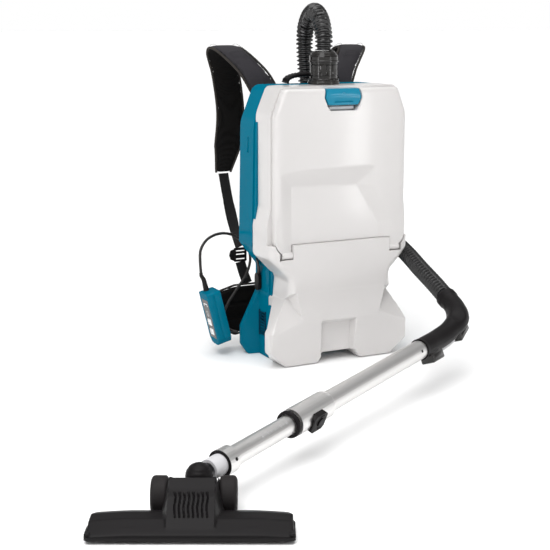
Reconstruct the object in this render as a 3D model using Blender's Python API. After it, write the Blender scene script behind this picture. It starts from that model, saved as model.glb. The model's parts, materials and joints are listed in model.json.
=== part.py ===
"""Backpack vacuum cleaner: pack, hose, telescopic wand, floor nozzle, harness and wired remote.

Metres, +Z up. X runs across the pack, -Y is the lid side and +Y the wearer's side.
The origin is on the pack's flat base.
"""
import math

import bmesh
import bpy
from mathutils import Matrix, Vector

GAP = 0.0003
WALL = 0.003

# Pack body
BODY_HEIGHT = 0.575
FRONT_Y = -0.100
LID_BACK_Y = -0.078
SPLIT_Y = -0.010
REAR_Y = 0.065
REAR_ROUNDING = 0.003
CHEST_HALF = 0.155
EAR_HALF = 0.163
NECK_HALF = 0.1135
WAIST_HALF = 0.118
LOBE_HALF = 0.165
FOOT_INNER = 0.051
FOOT_OUTER = 0.126
REAR_LOBE_HALF = 0.165

# The deep recess in each flank, between the front lobe and the rear flange
RECESS_FLOOR = 0.1265
RECESS_TOP = 0.137
LOBE_BACK_Y = -0.072
REAR_FLANGE_Y = 0.045
VENT_LOW = (0.002, 0.044)
VENT_HIGH = (0.034, 0.098)
VENT_SLOTS = 7

# Lid, its hinge and its latch
LID_HALF = 0.152
LID_ROUNDING = 0.0025
LID_TOP = 0.571
LID_BOTTOM = 0.2583
LID_NOTCH_HALF = 0.0425
LID_NOTCH_BOTTOM = 0.5285
HINGE_Y = -0.0925
HINGE_Z = 0.2368
EAR_INNER = 0.1143
EAR_RADIUS = 0.0073
EAR_LENGTH = 0.0187
HINGE_PIN_RADIUS = 0.0025
HINGE_CLEARANCE = 0.0004
LEDGE_CHAMFER = 0.0033
LATCH_HALF = 0.041
LATCH_BOTTOM = 0.537
LATCH_TOP = 0.570
LATCH_PIVOT = (0.0, -0.084, 0.5655)

# Motor and fan
MOTOR_Y = -0.025
FAN_BASE = 0.1946
FAN_BLADES = 7

# Hose
CUFF_Y = -0.011
CUFF_BASE = 0.5755
CUFF_TOP = 0.643
HOSE_RADIUS = 0.0175
HOSE_POINTS = 64
HOSE_ROUTE = [
    (0.000, -0.011, 0.644), (0.001, -0.009, 0.668), (0.004, 0.004, 0.694), (0.009, 0.028, 0.714),
    (0.016, 0.061, 0.723), (0.022, 0.094, 0.714), (0.026, 0.118, 0.693), (0.029, 0.130, 0.664),
    (0.031, 0.132, 0.630), (0.034, 0.131, 0.580), (0.036, 0.129, 0.520), (0.041, 0.128, 0.460),
    (0.050, 0.128, 0.400), (0.068, 0.128, 0.345), (0.095, 0.127, 0.300), (0.128, 0.122, 0.268),
    (0.160, 0.101, 0.245), (0.187, 0.070, 0.232), (0.197, 0.038, 0.224), (0.199, 0.006, 0.218),
    (0.192, -0.055, 0.203), (0.186, -0.110, 0.185), (0.184, -0.165, 0.165), (0.182, -0.210, 0.147),
]
ELBOW_ROUTE = [
    (0.1818, -0.2150, 0.1450), (0.178, -0.252, 0.1310), (0.160, -0.289, 0.117), (0.125, -0.312, 0.103),
    (0.080, -0.335, 0.095), (0.048, -0.3525, 0.0927),
]
ELBOW_RADIUS = 0.0205

# Wand: from its top at the elbow down to the nozzle
WAND_TOP = Vector((0.017, -0.369, 0.091))
WAND_END = Vector((-0.545, -0.681, 0.059))
OUTER_TUBE_RADIUS = 0.0183
OUTER_TUBE_BORE = 0.0172
OUTER_TUBE_LENGTH = 0.355
INNER_TUBE_RADIUS = 0.0162
INNER_TUBE_BORE = 0.0150
INNER_TUBE_START = 0.050
INNER_TUBE_END = 0.599
COLLAR_START = 0.350
COLLAR_END = 0.434
COLLAR_RADIUS = 0.0235
LOCK_BUTTON_AT = 0.386
LOCK_BUTTON_RADIUS = 0.0080
LOCK_BUTTON_TRAVEL = 0.003

# Floor nozzle, in its own frame: X across, Y back from the front lip, Z up
NOZZLE_PLACE = Vector((-0.6232, -0.7873, 0.0))
NOZZLE_YAW = math.radians(-26.15)
NOZZLE_HALF = 0.1455
NOZZLE_DEPTH = 0.075
SOLE_THICKNESS = 0.004
WHEEL_RADIUS = 0.0285
WHEEL_BACK = 0.106
WHEEL_INNER = 0.0362
WHEEL_WIDTH = 0.0265
AXLE_RADIUS = 0.004
DOME_CENTRE = (0.007, 0.107, 0.0575)
DOME_RADIUS = 0.0205

# Wired remote, in its own frame: its face looks along -X
REMOTE_PLACE = Vector((-0.2145, 0.069, 0.084))
REMOTE_LEAN = math.radians(-14)
REMOTE_DEPTH = 0.031
REMOTE_WIDTH = 0.046
REMOTE_HEIGHT = 0.118
CABLE_RADIUS = 0.003
CABLE_POINTS = 60
CABLE_ROUTE = [
    (-0.242, 0.080, 0.1735), (-0.244, 0.080, 0.200), (-0.241, 0.084, 0.228), (-0.224, 0.090, 0.248),
    (-0.198, 0.096, 0.257), (-0.172, 0.099, 0.256), (-0.146, 0.100, 0.244), (-0.124, 0.100, 0.222),
    (-0.118, 0.100, 0.192), (-0.130, 0.098, 0.160), (-0.153, 0.096, 0.131), (-0.177, 0.091, 0.102),
    (-0.190, 0.085, 0.074), (-0.187, 0.077, 0.057), (-0.180, 0.066, 0.050), (-0.1690, 0.056, 0.047),
]

# Harness
STRAP_WIDTH = 0.070
STRAP_THICKNESS = 0.012
STRAP_ROUTE = [
    (0.085, 0.085, 0.552), (0.110, 0.102, 0.600), (0.150, 0.135, 0.645), (0.150, 0.175, 0.638),
    (0.122, 0.212, 0.585), (0.107, 0.225, 0.505), (0.116, 0.220, 0.430), (0.134, 0.205, 0.375),
]
WEBBING_ROUTE = [(0.1345, 0.2040, 0.3725), (0.133, 0.180, 0.310), (0.131, 0.150, 0.250), (0.129, 0.130, 0.2185)]
WEBBING_WIDTH = 0.024
WEBBING_THICKNESS = 0.002

TEAL = (0.0, 0.22, 0.30)
WHITE = (0.80, 0.80, 0.79)
BLACK = (0.018, 0.018, 0.020)
DARK_GREY = (0.06, 0.06, 0.065)
STEEL = (0.62, 0.63, 0.64)


def material(name, colour, roughness, metallic=0.0):
    mat = bpy.data.materials.new(name)
    mat.use_nodes = True
    shader = mat.node_tree.nodes["Principled BSDF"]
    shader.inputs["Base Color"].default_value = (*colour, 1.0)
    shader.inputs["Roughness"].default_value = roughness
    shader.inputs["Metallic"].default_value = metallic
    return mat


def add(name, bm, look, parent=None, origin=(0, 0, 0)):
    """Make a mesh object whose vertices are given in its parent's frame, with its origin at `origin`."""
    bmesh.ops.translate(bm, verts=bm.verts, vec=-Vector(origin))
    bmesh.ops.recalc_face_normals(bm, faces=bm.faces)
    mesh = bpy.data.meshes.new(name)
    bm.to_mesh(mesh)
    bm.free()
    mesh.shade_smooth()
    mesh.set_sharp_from_angle(angle=math.radians(35))
    obj = bpy.data.objects.new(name, mesh)
    bpy.context.scene.collection.objects.link(obj)
    obj.parent = parent
    obj.location = origin
    obj.data.materials.append(material(name, *look))
    return obj


def empty(name, matrix):
    obj = bpy.data.objects.new(name, None)
    bpy.context.scene.collection.objects.link(obj)
    obj.matrix_world = matrix
    return obj


def boolean(obj, cutter_name, bm, operation="DIFFERENCE"):
    """Cut or join `obj` with a body given in the frame of the object's parent."""
    cutter = add(cutter_name, bm, (DARK_GREY, 0.5), obj.parent)
    cutter.hide_render = True
    cutter.display_type = "WIRE"
    modifier = obj.modifiers.new(cutter_name, "BOOLEAN")
    modifier.operation = operation
    modifier.object = cutter


def rounded(corners):
    """Turn (u, v, radius) corners into an outline whose corners are arcs."""
    outline = []
    for index, (u, v, radius) in enumerate(corners):
        corner = Vector((u, v))
        if radius == 0:
            outline.append(corner)
            continue
        before = (Vector(corners[index - 1][:2]) - corner).normalized()
        after = (Vector(corners[(index + 1) % len(corners)][:2]) - corner).normalized()
        half_angle = before.angle(after) / 2
        reach = radius / math.tan(half_angle)
        centre = corner + (before + after).normalized() * (radius / math.sin(half_angle))
        start = corner + before * reach - centre
        sweep = start.angle_signed(corner + after * reach - centre)
        steps = max(2, round(abs(sweep) / math.radians(22)))
        for step in range(steps + 1):
            turned = Matrix.Rotation(-sweep * step / steps, 2) @ start
            outline.append(centre + turned)
    return outline


def mirrored(right_half):
    """Close a right-hand outline, given from bottom centre to top centre, with its mirror image."""
    left = [(-u, v, radius) for u, v, radius in reversed(right_half) if u != 0]
    return right_half + left


def inset(outline, distance):
    """Move every edge of a counter-clockwise outline inwards."""
    moved = []
    count = len(outline)
    for index in range(count):
        here = outline[index]
        into = (here - outline[index - 1]).normalized()
        out = (outline[(index + 1) % count] - here).normalized()
        normal_in = Vector((-into.y, into.x))
        normal_out = Vector((-out.y, out.x))
        bisector = (normal_in + normal_out).normalized()
        moved.append(here + bisector * (distance / max(0.4, bisector.dot(normal_in))))
    return moved


def prism(outline, low, high, plane="XZ"):
    """Extrude an outline between two values of the axis that its plane leaves out."""
    place = {
        "XZ": lambda p, w: (p[0], w, p[1]),
        "YZ": lambda p, w: (w, p[0], p[1]),
        "XY": lambda p, w: (p[0], p[1], w),
    }[plane]
    bm = bmesh.new()
    ends = [[bm.verts.new(place(p, w)) for p in outline] for w in (low, high)]
    bm.faces.new(ends[0])
    bm.faces.new(reversed(ends[1]))
    count = len(outline)
    for index in range(count):
        after = (index + 1) % count
        bm.faces.new((ends[0][index], ends[1][index], ends[1][after], ends[0][after]))
    return bm


def soften(bm, width, chosen, segments=2):
    """Bevel the edges that `chosen` accepts."""
    edges = [edge for edge in bm.edges if chosen(edge)]
    bmesh.ops.bevel(bm, geom=edges, offset=width, segments=segments, profile=0.5, affect="EDGES")
    return bm


def at_front(y, above=-1.0):
    return lambda edge: all(abs(vert.co.y - y) < 1e-5 and vert.co.z > above for vert in edge.verts)


def block(low, high, bevel=0.0, segments=1):
    bm = bmesh.new()
    bmesh.ops.create_cube(bm, size=1.0)
    size = Vector(high) - Vector(low)
    centre = (Vector(high) + Vector(low)) / 2
    for vert in bm.verts:
        vert.co = centre + Vector(a * b for a, b in zip(vert.co, size))
    if bevel:
        soften(bm, bevel, lambda edge: True, segments)
    return bm


def turned(profile, start, direction, sides=24):
    """Turn a closed (radius, distance) profile about the line from `start` along `direction`."""
    axis = Vector(direction).normalized()
    frame = axis.to_track_quat("Z", "Y").to_matrix()
    solid = profile[0][0] == 0
    bm = bmesh.new()
    rings = []
    for radius, distance in profile:
        if radius == 0:
            rings.append([bm.verts.new(Vector(start) + axis * distance)])
            continue
        ring = []
        for side in range(sides):
            angle = math.tau * side / sides
            local = Vector((radius * math.cos(angle), radius * math.sin(angle), distance))
            ring.append(bm.verts.new(Vector(start) + frame @ local))
        rings.append(ring)
    pairs = list(zip(rings, rings[1:]))
    if not solid:
        pairs.append((rings[-1], rings[0]))
    for first, second in pairs:
        for side in range(sides):
            after = (side + 1) % sides
            corners = [first[side % len(first)], first[after % len(first)],
                       second[after % len(second)], second[side % len(second)]]
            bm.faces.new(list(dict.fromkeys(corners)))
    return bm


def rod(radius, length, start, direction, sides=20):
    return turned([(0, 0), (radius, 0), (radius, length), (0, length)], start, direction, sides)


def pipe(bore, radius, low, high, start, direction, sides=24):
    return turned([(bore, low), (radius, low), (radius, high), (bore, high)], start, direction, sides)


def smooth_path(points, count):
    """Points evenly spread in parameter on a Catmull-Rom curve through `points`."""
    knots = [Vector(p) for p in points]
    knots = [2 * knots[0] - knots[1]] + knots + [2 * knots[-1] - knots[-2]]
    spans = len(points) - 1
    path = []
    for index in range(count):
        place = index * spans / (count - 1)
        span = min(int(place), spans - 1)
        t = place - span
        a, b, c, d = knots[span:span + 4]
        path.append(0.5 * (2 * b + (c - a) * t + (2 * a - 5 * b + 4 * c - d) * t ** 2
                           + (3 * b - a - 3 * c + d) * t ** 3))
    return path


def cord(name, route, radius, count, look, resolution):
    curve = bpy.data.curves.new(name, "CURVE")
    curve.dimensions = "3D"
    curve.bevel_depth = radius
    curve.bevel_resolution = resolution
    curve.use_fill_caps = True
    path = smooth_path(route, count)
    spline = curve.splines.new("POLY")
    spline.points.add(len(path) - 1)
    for point, place in zip(spline.points, path):
        point.co = (*place, 1.0)
    obj = bpy.data.objects.new(name, curve)
    bpy.context.scene.collection.objects.link(obj)
    curve.materials.append(material(name, *look))
    return obj


def ribbon(route, width, thickness, count, side=(1, 0, 0)):
    """A flat strap of constant width along a smooth route."""
    path = smooth_path(route, count)
    across = Vector(side).normalized() * (width / 2)
    bm = bmesh.new()
    sections = []
    for index, place in enumerate(path):
        tangent = path[min(index + 1, count - 1)] - path[max(index - 1, 0)]
        lift = tangent.cross(across).normalized() * (thickness / 2)
        offsets = (across + lift, across - lift, -across - lift, -across + lift)
        sections.append([bm.verts.new(place + offset) for offset in offsets])
    for first, second in zip(sections, sections[1:]):
        for corner in range(4):
            after = (corner + 1) % 4
            bm.faces.new((first[corner], first[after], second[after], second[corner]))
    bm.faces.new(sections[0])
    bm.faces.new(reversed(sections[-1]))
    return bm


def front_outline():
    return rounded(mirrored([
        (0.0, 0.020, 0), (0.036, 0.020, 0.008), (FOOT_INNER, 0.0, 0.008), (FOOT_OUTER, 0.0, 0.008),
        (LOBE_HALF, 0.033, 0.012), (LOBE_HALF, 0.076, 0.012), (0.122, 0.140, 0.010),
        (WAIST_HALF, 0.185, 0.020), (EAR_HALF, 0.232, 0.016), (EAR_HALF, 0.292, 0.030),
        (CHEST_HALF, 0.335, 0.030), (CHEST_HALF, 0.520, 0.050), (0.132, BODY_HEIGHT, 0.014),
        (0.0, BODY_HEIGHT, 0),
    ]))


def rear_outline():
    return rounded(mirrored([
        (0.0, 0.0, 0), (0.150, 0.0, 0.004), (REAR_LOBE_HALF, 0.022, 0.006), (REAR_LOBE_HALF, 0.062, 0.008),
        (0.126, 0.140, 0.010),
        (0.126, 0.196, 0.012), (0.165, 0.246, 0.012), (0.160, 0.500, 0.060),
        (0.130, BODY_HEIGHT, 0.020), (0.0, BODY_HEIGHT, 0),
    ]))


def narrowed(outline):
    """Pull the lobes of an outline in to the inner side of the recess floor."""
    limit = RECESS_FLOOR - WALL
    return [Vector((max(-limit, min(limit, u)), v)) if v < RECESS_TOP else Vector((u, v)) for u, v in outline]


def lobes_only(outline):
    return [corner for corner in outline if corner.y < RECESS_TOP]


def lid_outline():
    return rounded(mirrored([
        (0.0, LID_BOTTOM, 0), (EAR_INNER, LID_BOTTOM, 0), (EAR_INNER, HINGE_Z, 0),
        (LID_HALF, HINGE_Z, 0.018), (LID_HALF, 0.515, 0.040), (0.132, LID_TOP, 0.012),
        (LID_NOTCH_HALF, LID_TOP, 0), (LID_NOTCH_HALF, LID_NOTCH_BOTTOM, 0.004),
        (0.0, LID_NOTCH_BOTTOM, 0),
    ]))


def make_front_shell():
    outer = front_outline()
    shelf_y = LID_BACK_Y + GAP
    shell = add("front_shell", prism(outer, FRONT_Y, SPLIT_Y - GAP), (WHITE, 0.25))
    boolean(shell, "cut_lid_space", block((-0.2, -0.2, LID_BOTTOM - GAP), (0.2, shelf_y, 0.7)))
    thinner = inset(outer, WALL + GAP)
    below_lid = [corner for corner in thinner if corner.y < LID_BOTTOM - 2 * WALL]
    boolean(shell, "cut_lower_hollow", prism(narrowed(below_lid), FRONT_Y + WALL, 0.02))
    boolean(shell, "cut_lobe_hollow", prism(lobes_only(thinner), FRONT_Y + WALL + GAP, LOBE_BACK_Y - WALL))
    boolean(shell, "cut_upper_hollow", prism(inset(outer, WALL), shelf_y + WALL, 0.01))
    boolean(shell, "cut_bag_opening", block((-0.128, -0.09, 0.275), (0.128, -0.06, 0.505)))
    for side, sign in (("left", -1), ("right", 1)):
        boolean(shell, "cut_ear_" + side,
                rod(EAR_RADIUS + 0.0008, 0.08, (sign * (NECK_HALF + GAP), HINGE_Y, HINGE_Z), (sign, 0, 0)))
        low, high = sorted((sign * (NECK_HALF + GAP), sign * 0.2))
        boolean(shell, "cut_ear_corner_" + side, block((low, -0.2, HINGE_Z), (high, shelf_y, LID_BOTTOM)))
        boolean(shell, "cut_ear_swing_" + side,
                block((low, -0.2, HINGE_Z - EAR_RADIUS - 0.0005), (high, HINGE_Y, HINGE_Z + 0.001)))
        recess = [(RECESS_FLOOR, -0.030), (RECESS_FLOOR, 0.020), (0.2, 0.020), (0.2, LOBE_BACK_Y), (0.160, LOBE_BACK_Y)]
        boolean(shell, "cut_recess_" + side,
                prism([(sign * u, v) for u, v in recess], -0.01, 0.150, "XY"))
        low, high = sorted((sign * 0.0540, sign * 0.1220))
        boolean(shell, "cut_battery_mouth_" + side, block((low, -0.081, -0.01), (high, -0.014, 0.012)))
    ledge = LID_BOTTOM - GAP
    over = 0.002
    reach = LEDGE_CHAMFER + over
    wedge = [(FRONT_Y - over, ledge - reach), (FRONT_Y + reach, ledge + over), (FRONT_Y - over, ledge + over)]
    boolean(shell, "cut_ledge_chamfer", prism(wedge, -0.2, 0.2, "YZ"))
    boolean(shell, "cut_inlet_front", rod(0.022, 0.05, (0, CUFF_Y, 0.555), (0, 0, 1)))


def make_rear_housing():
    outer = rear_outline()
    bm = soften(prism(outer, SPLIT_Y, REAR_Y), REAR_ROUNDING, at_front(REAR_Y), 2)
    housing = add("rear_housing", bm, (TEAL, 0.3))
    boolean(housing, "cut_rear_hollow", prism(narrowed(inset(outer, WALL)), SPLIT_Y - 0.01, REAR_Y - WALL))
    flange = lobes_only(inset(outer, WALL + GAP))
    boolean(housing, "cut_flange_hollow", prism(flange, REAR_FLANGE_Y + WALL, REAR_Y - WALL - GAP))
    recess = [(RECESS_FLOOR, -0.03), (0.2, -0.03), (0.2, REAR_FLANGE_Y), (0.160, REAR_FLANGE_Y), (RECESS_FLOOR, 0.036)]
    for side, sign in (("left", -1), ("right", 1)):
        boolean(housing, "cut_recess_rear_" + side, prism([(sign * u, v) for u, v in recess], -0.01, 0.150, "XY"))
        low, high = sorted((sign * 0.118, sign * 0.135))
        boolean(housing, "cut_vent_" + side, block((low, VENT_LOW[0], VENT_LOW[1]), (high, VENT_HIGH[0], VENT_HIGH[1])))
    boolean(housing, "cut_inlet_rear", rod(0.022, 0.05, (0, CUFF_Y, 0.555), (0, 0, 1)))


def make_vents():
    for side, sign in (("left", -1), ("right", 1)):
        low, high = sorted((sign * (RECESS_FLOOR - 0.0026), sign * (RECESS_FLOOR - 0.0003)))
        vent = add("side_vent_" + side, block((low, VENT_LOW[0] + GAP, VENT_LOW[1] + GAP),
                                              (high, VENT_HIGH[0] - GAP, VENT_HIGH[1] - GAP)), (TEAL, 0.4))
        for row in range(VENT_SLOTS):
            base = VENT_LOW[1] + 0.0050 + row * 0.0068
            boolean(vent, "cut_slot_%s_%d" % (side, row),
                    block((low - 0.005, VENT_LOW[0] + 0.004, base), (high + 0.005, VENT_HIGH[0] - 0.004, base + 0.0035)))


def make_lid():
    bm = soften(prism(lid_outline(), FRONT_Y, LID_BACK_Y), LID_ROUNDING, at_front(FRONT_Y, LID_BOTTOM + GAP), 2)
    lid = add("lid", bm, (WHITE, 0.2), origin=(0, HINGE_Y, HINGE_Z))
    inner = rounded(mirrored([
        (0.0, LID_BOTTOM - 0.02, 0), (EAR_INNER + 0.0005, LID_BOTTOM - 0.02, 0),
        (EAR_INNER + 0.0005, LID_BOTTOM + 0.004, 0),
        (LID_HALF - WALL, LID_BOTTOM + 0.004, 0), (LID_HALF - WALL, 0.513, 0.036),
        (0.130, LID_TOP - WALL, 0.010), (LID_NOTCH_HALF + WALL, LID_TOP - WALL, 0),
        (LID_NOTCH_HALF + WALL, LID_NOTCH_BOTTOM - WALL, 0), (0.0, LID_NOTCH_BOTTOM - WALL, 0),
    ]))
    boolean(lid, "cut_lid_hollow", prism(inner, FRONT_Y + WALL, LID_BACK_Y + 0.02))
    for side, sign in (("left", -1), ("right", 1)):
        start = (sign * EAR_INNER, HINGE_Y, HINGE_Z)
        boolean(lid, "join_ear_" + side, rod(EAR_RADIUS, EAR_LENGTH, start, (sign, 0, 0), 32), "UNION")
        boolean(lid, "cut_pin_hole_" + side,
                rod(HINGE_PIN_RADIUS + HINGE_CLEARANCE, 0.030, (sign * 0.110, HINGE_Y, HINGE_Z), (sign, 0, 0)))
        add("hinge_pin_" + side,
            rod(HINGE_PIN_RADIUS, 0.018, (sign * 0.1142, HINGE_Y, HINGE_Z), (sign, 0, 0), 16), (STEEL, 0.3, 1.0))


def make_lid_seal():
    outer = rounded([(-0.140, 0.266, 0.01), (0.140, 0.266, 0.01), (0.140, 0.5200, 0.01), (-0.140, 0.5200, 0.01)])
    seal = add("lid_seal", prism(outer, -0.0805, LID_BACK_Y - GAP), (BLACK, 0.8))
    boolean(seal, "cut_seal", block((-0.134, -0.1, 0.272), (0.134, -0.05, 0.514)))


def make_latch():
    corners = [(-0.034, LATCH_BOTTOM, 0.005), (0.034, LATCH_BOTTOM, 0.005), (LATCH_HALF, 0.552, 0.004),
               (0.036, LATCH_TOP, 0.004), (-0.036, LATCH_TOP, 0.004), (-LATCH_HALF, 0.552, 0.004)]
    bm = soften(prism(rounded(corners), FRONT_Y, -0.080), 0.002, at_front(FRONT_Y), 2)
    add("lid_latch", bm, (TEAL, 0.3), origin=LATCH_PIVOT)


def make_interior():
    add("dust_bag", block((-0.118, -0.066, 0.290), (0.118, 0.018, 0.525), 0.020, 2), (WHITE, 0.9))
    add("bag_holder", turned([(0.0180, 0.5280), (0.0450, 0.5280), (0.0450, 0.5330), (0.0213, 0.5330),
                              (0.0213, 0.5745), (0.0180, 0.5745)], (0, CUFF_Y, 0), (0, 0, 1)), (DARK_GREY, 0.5))
    add("filter", block((-0.095, -0.066, 0.2300), (0.095, 0.020, 0.2540), 0.003), (WHITE, 0.8))
    add("motor", turned([(0, 0.122), (0.034, 0.122), (0.042, 0.130), (0.042, 0.185), (0, 0.185)],
                        (0, MOTOR_Y, 0), (0, 0, 1)), (DARK_GREY, 0.4))
    add("motor_mount", pipe(0.010, 0.052, 0.1855, 0.1895, (0, MOTOR_Y, 0), (0, 0, 1)), (BLACK, 0.7))
    add("motor_shaft", rod(0.004, 0.0087, (0, MOTOR_Y, 0.1856), (0, 0, 1), 16), (STEEL, 0.3, 1.0))
    hub_start = (0, MOTOR_Y, FAN_BASE)
    fan = add("fan", rod(0.050, 0.004, hub_start, (0, 0, 1), 32), (DARK_GREY, 0.5), origin=hub_start)
    boolean(fan, "join_fan_hub", rod(0.014, 0.0200, (0, MOTOR_Y, FAN_BASE + 0.0014), (0, 0, 1), 16), "UNION")
    for blade in range(FAN_BLADES):
        spin = Matrix.Translation((0, MOTOR_Y, 0)) @ Matrix.Rotation(math.tau * blade / FAN_BLADES, 4, "Z")
        bm = block((0.010, -0.001, FAN_BASE + 0.0024), (0.046, 0.001, FAN_BASE + 0.0174))
        bmesh.ops.transform(bm, matrix=spin, verts=bm.verts)
        boolean(fan, "join_blade_%d" % blade, bm, "UNION")
    add("circuit_board", block((-0.060, 0.050, 0.300), (0.060, 0.052, 0.420)), ((0.02, 0.15, 0.06), 0.5))


def make_batteries():
    for side, sign in (("left", -1), ("right", 1)):
        low, high = sorted((sign * 0.0560, sign * 0.1200))
        add("battery_" + side, block((low, -0.078, 0.002), (high, -0.017, 0.092), 0.004),
            (BLACK, 0.5), origin=((low + high) / 2, -0.0475, 0.002))
        low, high = sorted((sign * 0.070, sign * 0.106))
        add("battery_terminal_" + side, block((low, -0.070, 0.0925), (high, -0.030, 0.0985)), (DARK_GREY, 0.6))


def make_cuff():
    up = (0, 0, 1)
    foot = (0, CUFF_Y, 0)
    add("cuff_ring", pipe(0.0205, 0.0335, CUFF_BASE, 0.5875, foot, up, 32), (BLACK, 0.3))
    add("hose_cuff", turned([(0.0205, 0.5878), (0.0285, 0.5878), (0.0285, 0.6198), (0.0205, 0.6198)],
                            foot, up, 32), (BLACK, 0.2))
    add("cuff_cap", turned([(0.0100, 0.6201), (0.0305, 0.6201), (0.0305, 0.6350), (0.0265, 0.6425),
                            (0.0200, CUFF_TOP), (0.0100, CUFF_TOP)], foot, up, 32), (BLACK, 0.2))


def make_carry_handle():
    route = [(-0.062, 0.042, 0.5780), (-0.056, 0.042, 0.592), (-0.035, 0.042, 0.602), (0, 0.042, 0.605),
             (0.035, 0.042, 0.602), (0.056, 0.042, 0.592), (0.062, 0.042, 0.5780)]
    add("carry_handle", ribbon(route, 0.026, 0.005, 25, (0, 1, 0)), (BLACK, 0.5))


def make_harness():
    add("back_pad", block((-0.098, REAR_Y + GAP, 0.060), (0.098, 0.1050, 0.515), 0.010, 2), (BLACK, 0.9))
    for side, sign in (("left", -1), ("right", 1)):
        def flip(route):
            return [(sign * x, y, z) for x, y, z in route]
        add("shoulder_strap_" + side, ribbon(flip(STRAP_ROUTE), STRAP_WIDTH, STRAP_THICKNESS, 29), (BLACK, 0.9))
        add("webbing_" + side, ribbon(flip(WEBBING_ROUTE), WEBBING_WIDTH, WEBBING_THICKNESS, 13), (BLACK, 0.8))
        add("buckle_" + side, block((sign * 0.129 - 0.015, 0.1235, 0.186), (sign * 0.129 + 0.015, 0.1325, 0.2170),
                                    0.002), (BLACK, 0.4))
        add("lower_webbing_" + side, ribbon(flip([(0.129, 0.128, 0.1855), (0.124, 0.121, 0.160),
                                                  (0.118, 0.1150, 0.1385)]), 0.024, 0.002, 9), (BLACK, 0.8))
        wing = [(0.070, 0.040, 0.010), (0.150, 0.026, 0.010), (0.212, 0.060, 0.020),
                (0.212, 0.120, 0.020), (0.150, 0.137, 0.010), (0.070, 0.137, 0.010)]
        add("waist_wing_" + side, prism(rounded([(sign * u, v, r) for u, v, r in wing]), 0.1055, 0.1235),
            (BLACK, 0.9))


def make_remote():
    frame = empty("remote_frame", Matrix.Translation(REMOTE_PLACE) @ Matrix.Rotation(REMOTE_LEAN, 4, "Y"))
    depth, width, height = REMOTE_DEPTH / 2, REMOTE_WIDTH / 2, REMOTE_HEIGHT / 2
    case = add("remote_case", block((-depth, -width, -height), (depth, width, height), 0.005, 2), (TEAL, 0.3), frame)
    boolean(case, "cut_face_recess", block((-0.05, -0.0163, -0.0443), (0.0010 - depth, 0.0163, 0.0443)))
    for name, z in (("on", -0.008), ("off", -0.030)):
        boolean(case, "cut_button_well_" + name, block((-0.05, -0.0093, z - 0.0083), (0.0060 - depth, 0.0093, z + 0.0083)))
    face = add("remote_face", block((-depth - 0.0002, -0.016, -0.044), (0.0007 - depth, 0.016, 0.044)), (BLACK, 0.3), frame)
    for name, z in (("on", -0.008), ("off", -0.030)):
        boolean(face, "cut_button_hole_" + name, block((-0.05, -0.0090, z - 0.0080), (0.05, 0.0090, z + 0.0080)))
        add("remote_button_" + name, block((-depth - 0.0016, -0.0085, z - 0.0075), (0.0040 - depth, 0.0085, z + 0.0075),
                                           0.0010), (WHITE, 0.4), frame, (-depth, 0, z))
    relief = [(0, 0), (0.0062, 0), (0.0042, 0.024), (0, 0.024)]
    add("strain_relief", turned(relief, (-0.002, 0.011, height + GAP), (0.0, 0, 1), 16), (BLACK, 0.6), frame)


def make_wand():
    along = (WAND_END - WAND_TOP).normalized()
    down = along.to_track_quat("Z", "Y").to_matrix().to_4x4()
    frame = empty("wand_frame", Matrix.Translation(WAND_TOP) @ down)
    place = ((0, 0, 0), (0, 0, 1))
    add("outer_tube", pipe(OUTER_TUBE_BORE, OUTER_TUBE_RADIUS, 0, OUTER_TUBE_LENGTH, *place, 32), (STEEL, 0.25, 1.0), frame)
    collar = add("tube_collar", pipe(OUTER_TUBE_RADIUS + GAP, COLLAR_RADIUS, COLLAR_START - 0.012, COLLAR_END, *place, 32),
                 (STEEL, 0.3, 1.0), frame)
    add("collar_ring", pipe(INNER_TUBE_RADIUS + 0.0008, 0.0245, COLLAR_END + GAP, 0.446, *place, 32), (BLACK, 0.3), frame)
    add("inner_tube", pipe(INNER_TUBE_BORE, INNER_TUBE_RADIUS, INNER_TUBE_START, INNER_TUBE_END, *place, 32),
        (STEEL, 0.25, 1.0), frame, (0, 0, INNER_TUBE_START))
    add("lower_collar", pipe(INNER_TUBE_BORE, 0.0215, INNER_TUBE_END + GAP, 0.6220, *place, 32), (STEEL, 0.3, 1.0), frame)
    add("nozzle_neck", pipe(0.0120, 0.0165, 0.6223, 0.6500, *place, 32), ((0.5, 0.5, 0.51), 0.4), frame)
    press_out = (down.to_3x3().inverted() @ Vector((0.42, -0.76, -0.35))).normalized()
    press_out.z = 0
    press_out.normalize()
    well_floor = press_out * 0.0190 + Vector((0, 0, LOCK_BUTTON_AT))
    boolean(collar, "cut_lock_well", rod(LOCK_BUTTON_RADIUS + GAP, 0.03, well_floor, press_out))
    button_foot = press_out * (0.0194 + LOCK_BUTTON_TRAVEL) + Vector((0, 0, LOCK_BUTTON_AT))
    add("tube_lock_button", rod(LOCK_BUTTON_RADIUS, 0.0065, button_foot, press_out), (BLACK, 0.3), frame, button_foot)


def make_elbow():
    cord("elbow", ELBOW_ROUTE, ELBOW_RADIUS, 18, (BLACK, 0.4), 4)
    frame = bpy.data.objects["wand_frame"]
    add("elbow_collar", turned([(0.0200, -0.0340), (0.0235, -0.0340), (0.0235, -0.0010), (0.0200, -0.0010)],
                               (0, 0, 0), (0, 0, 1), 32), (BLACK, 0.4), frame)


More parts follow.
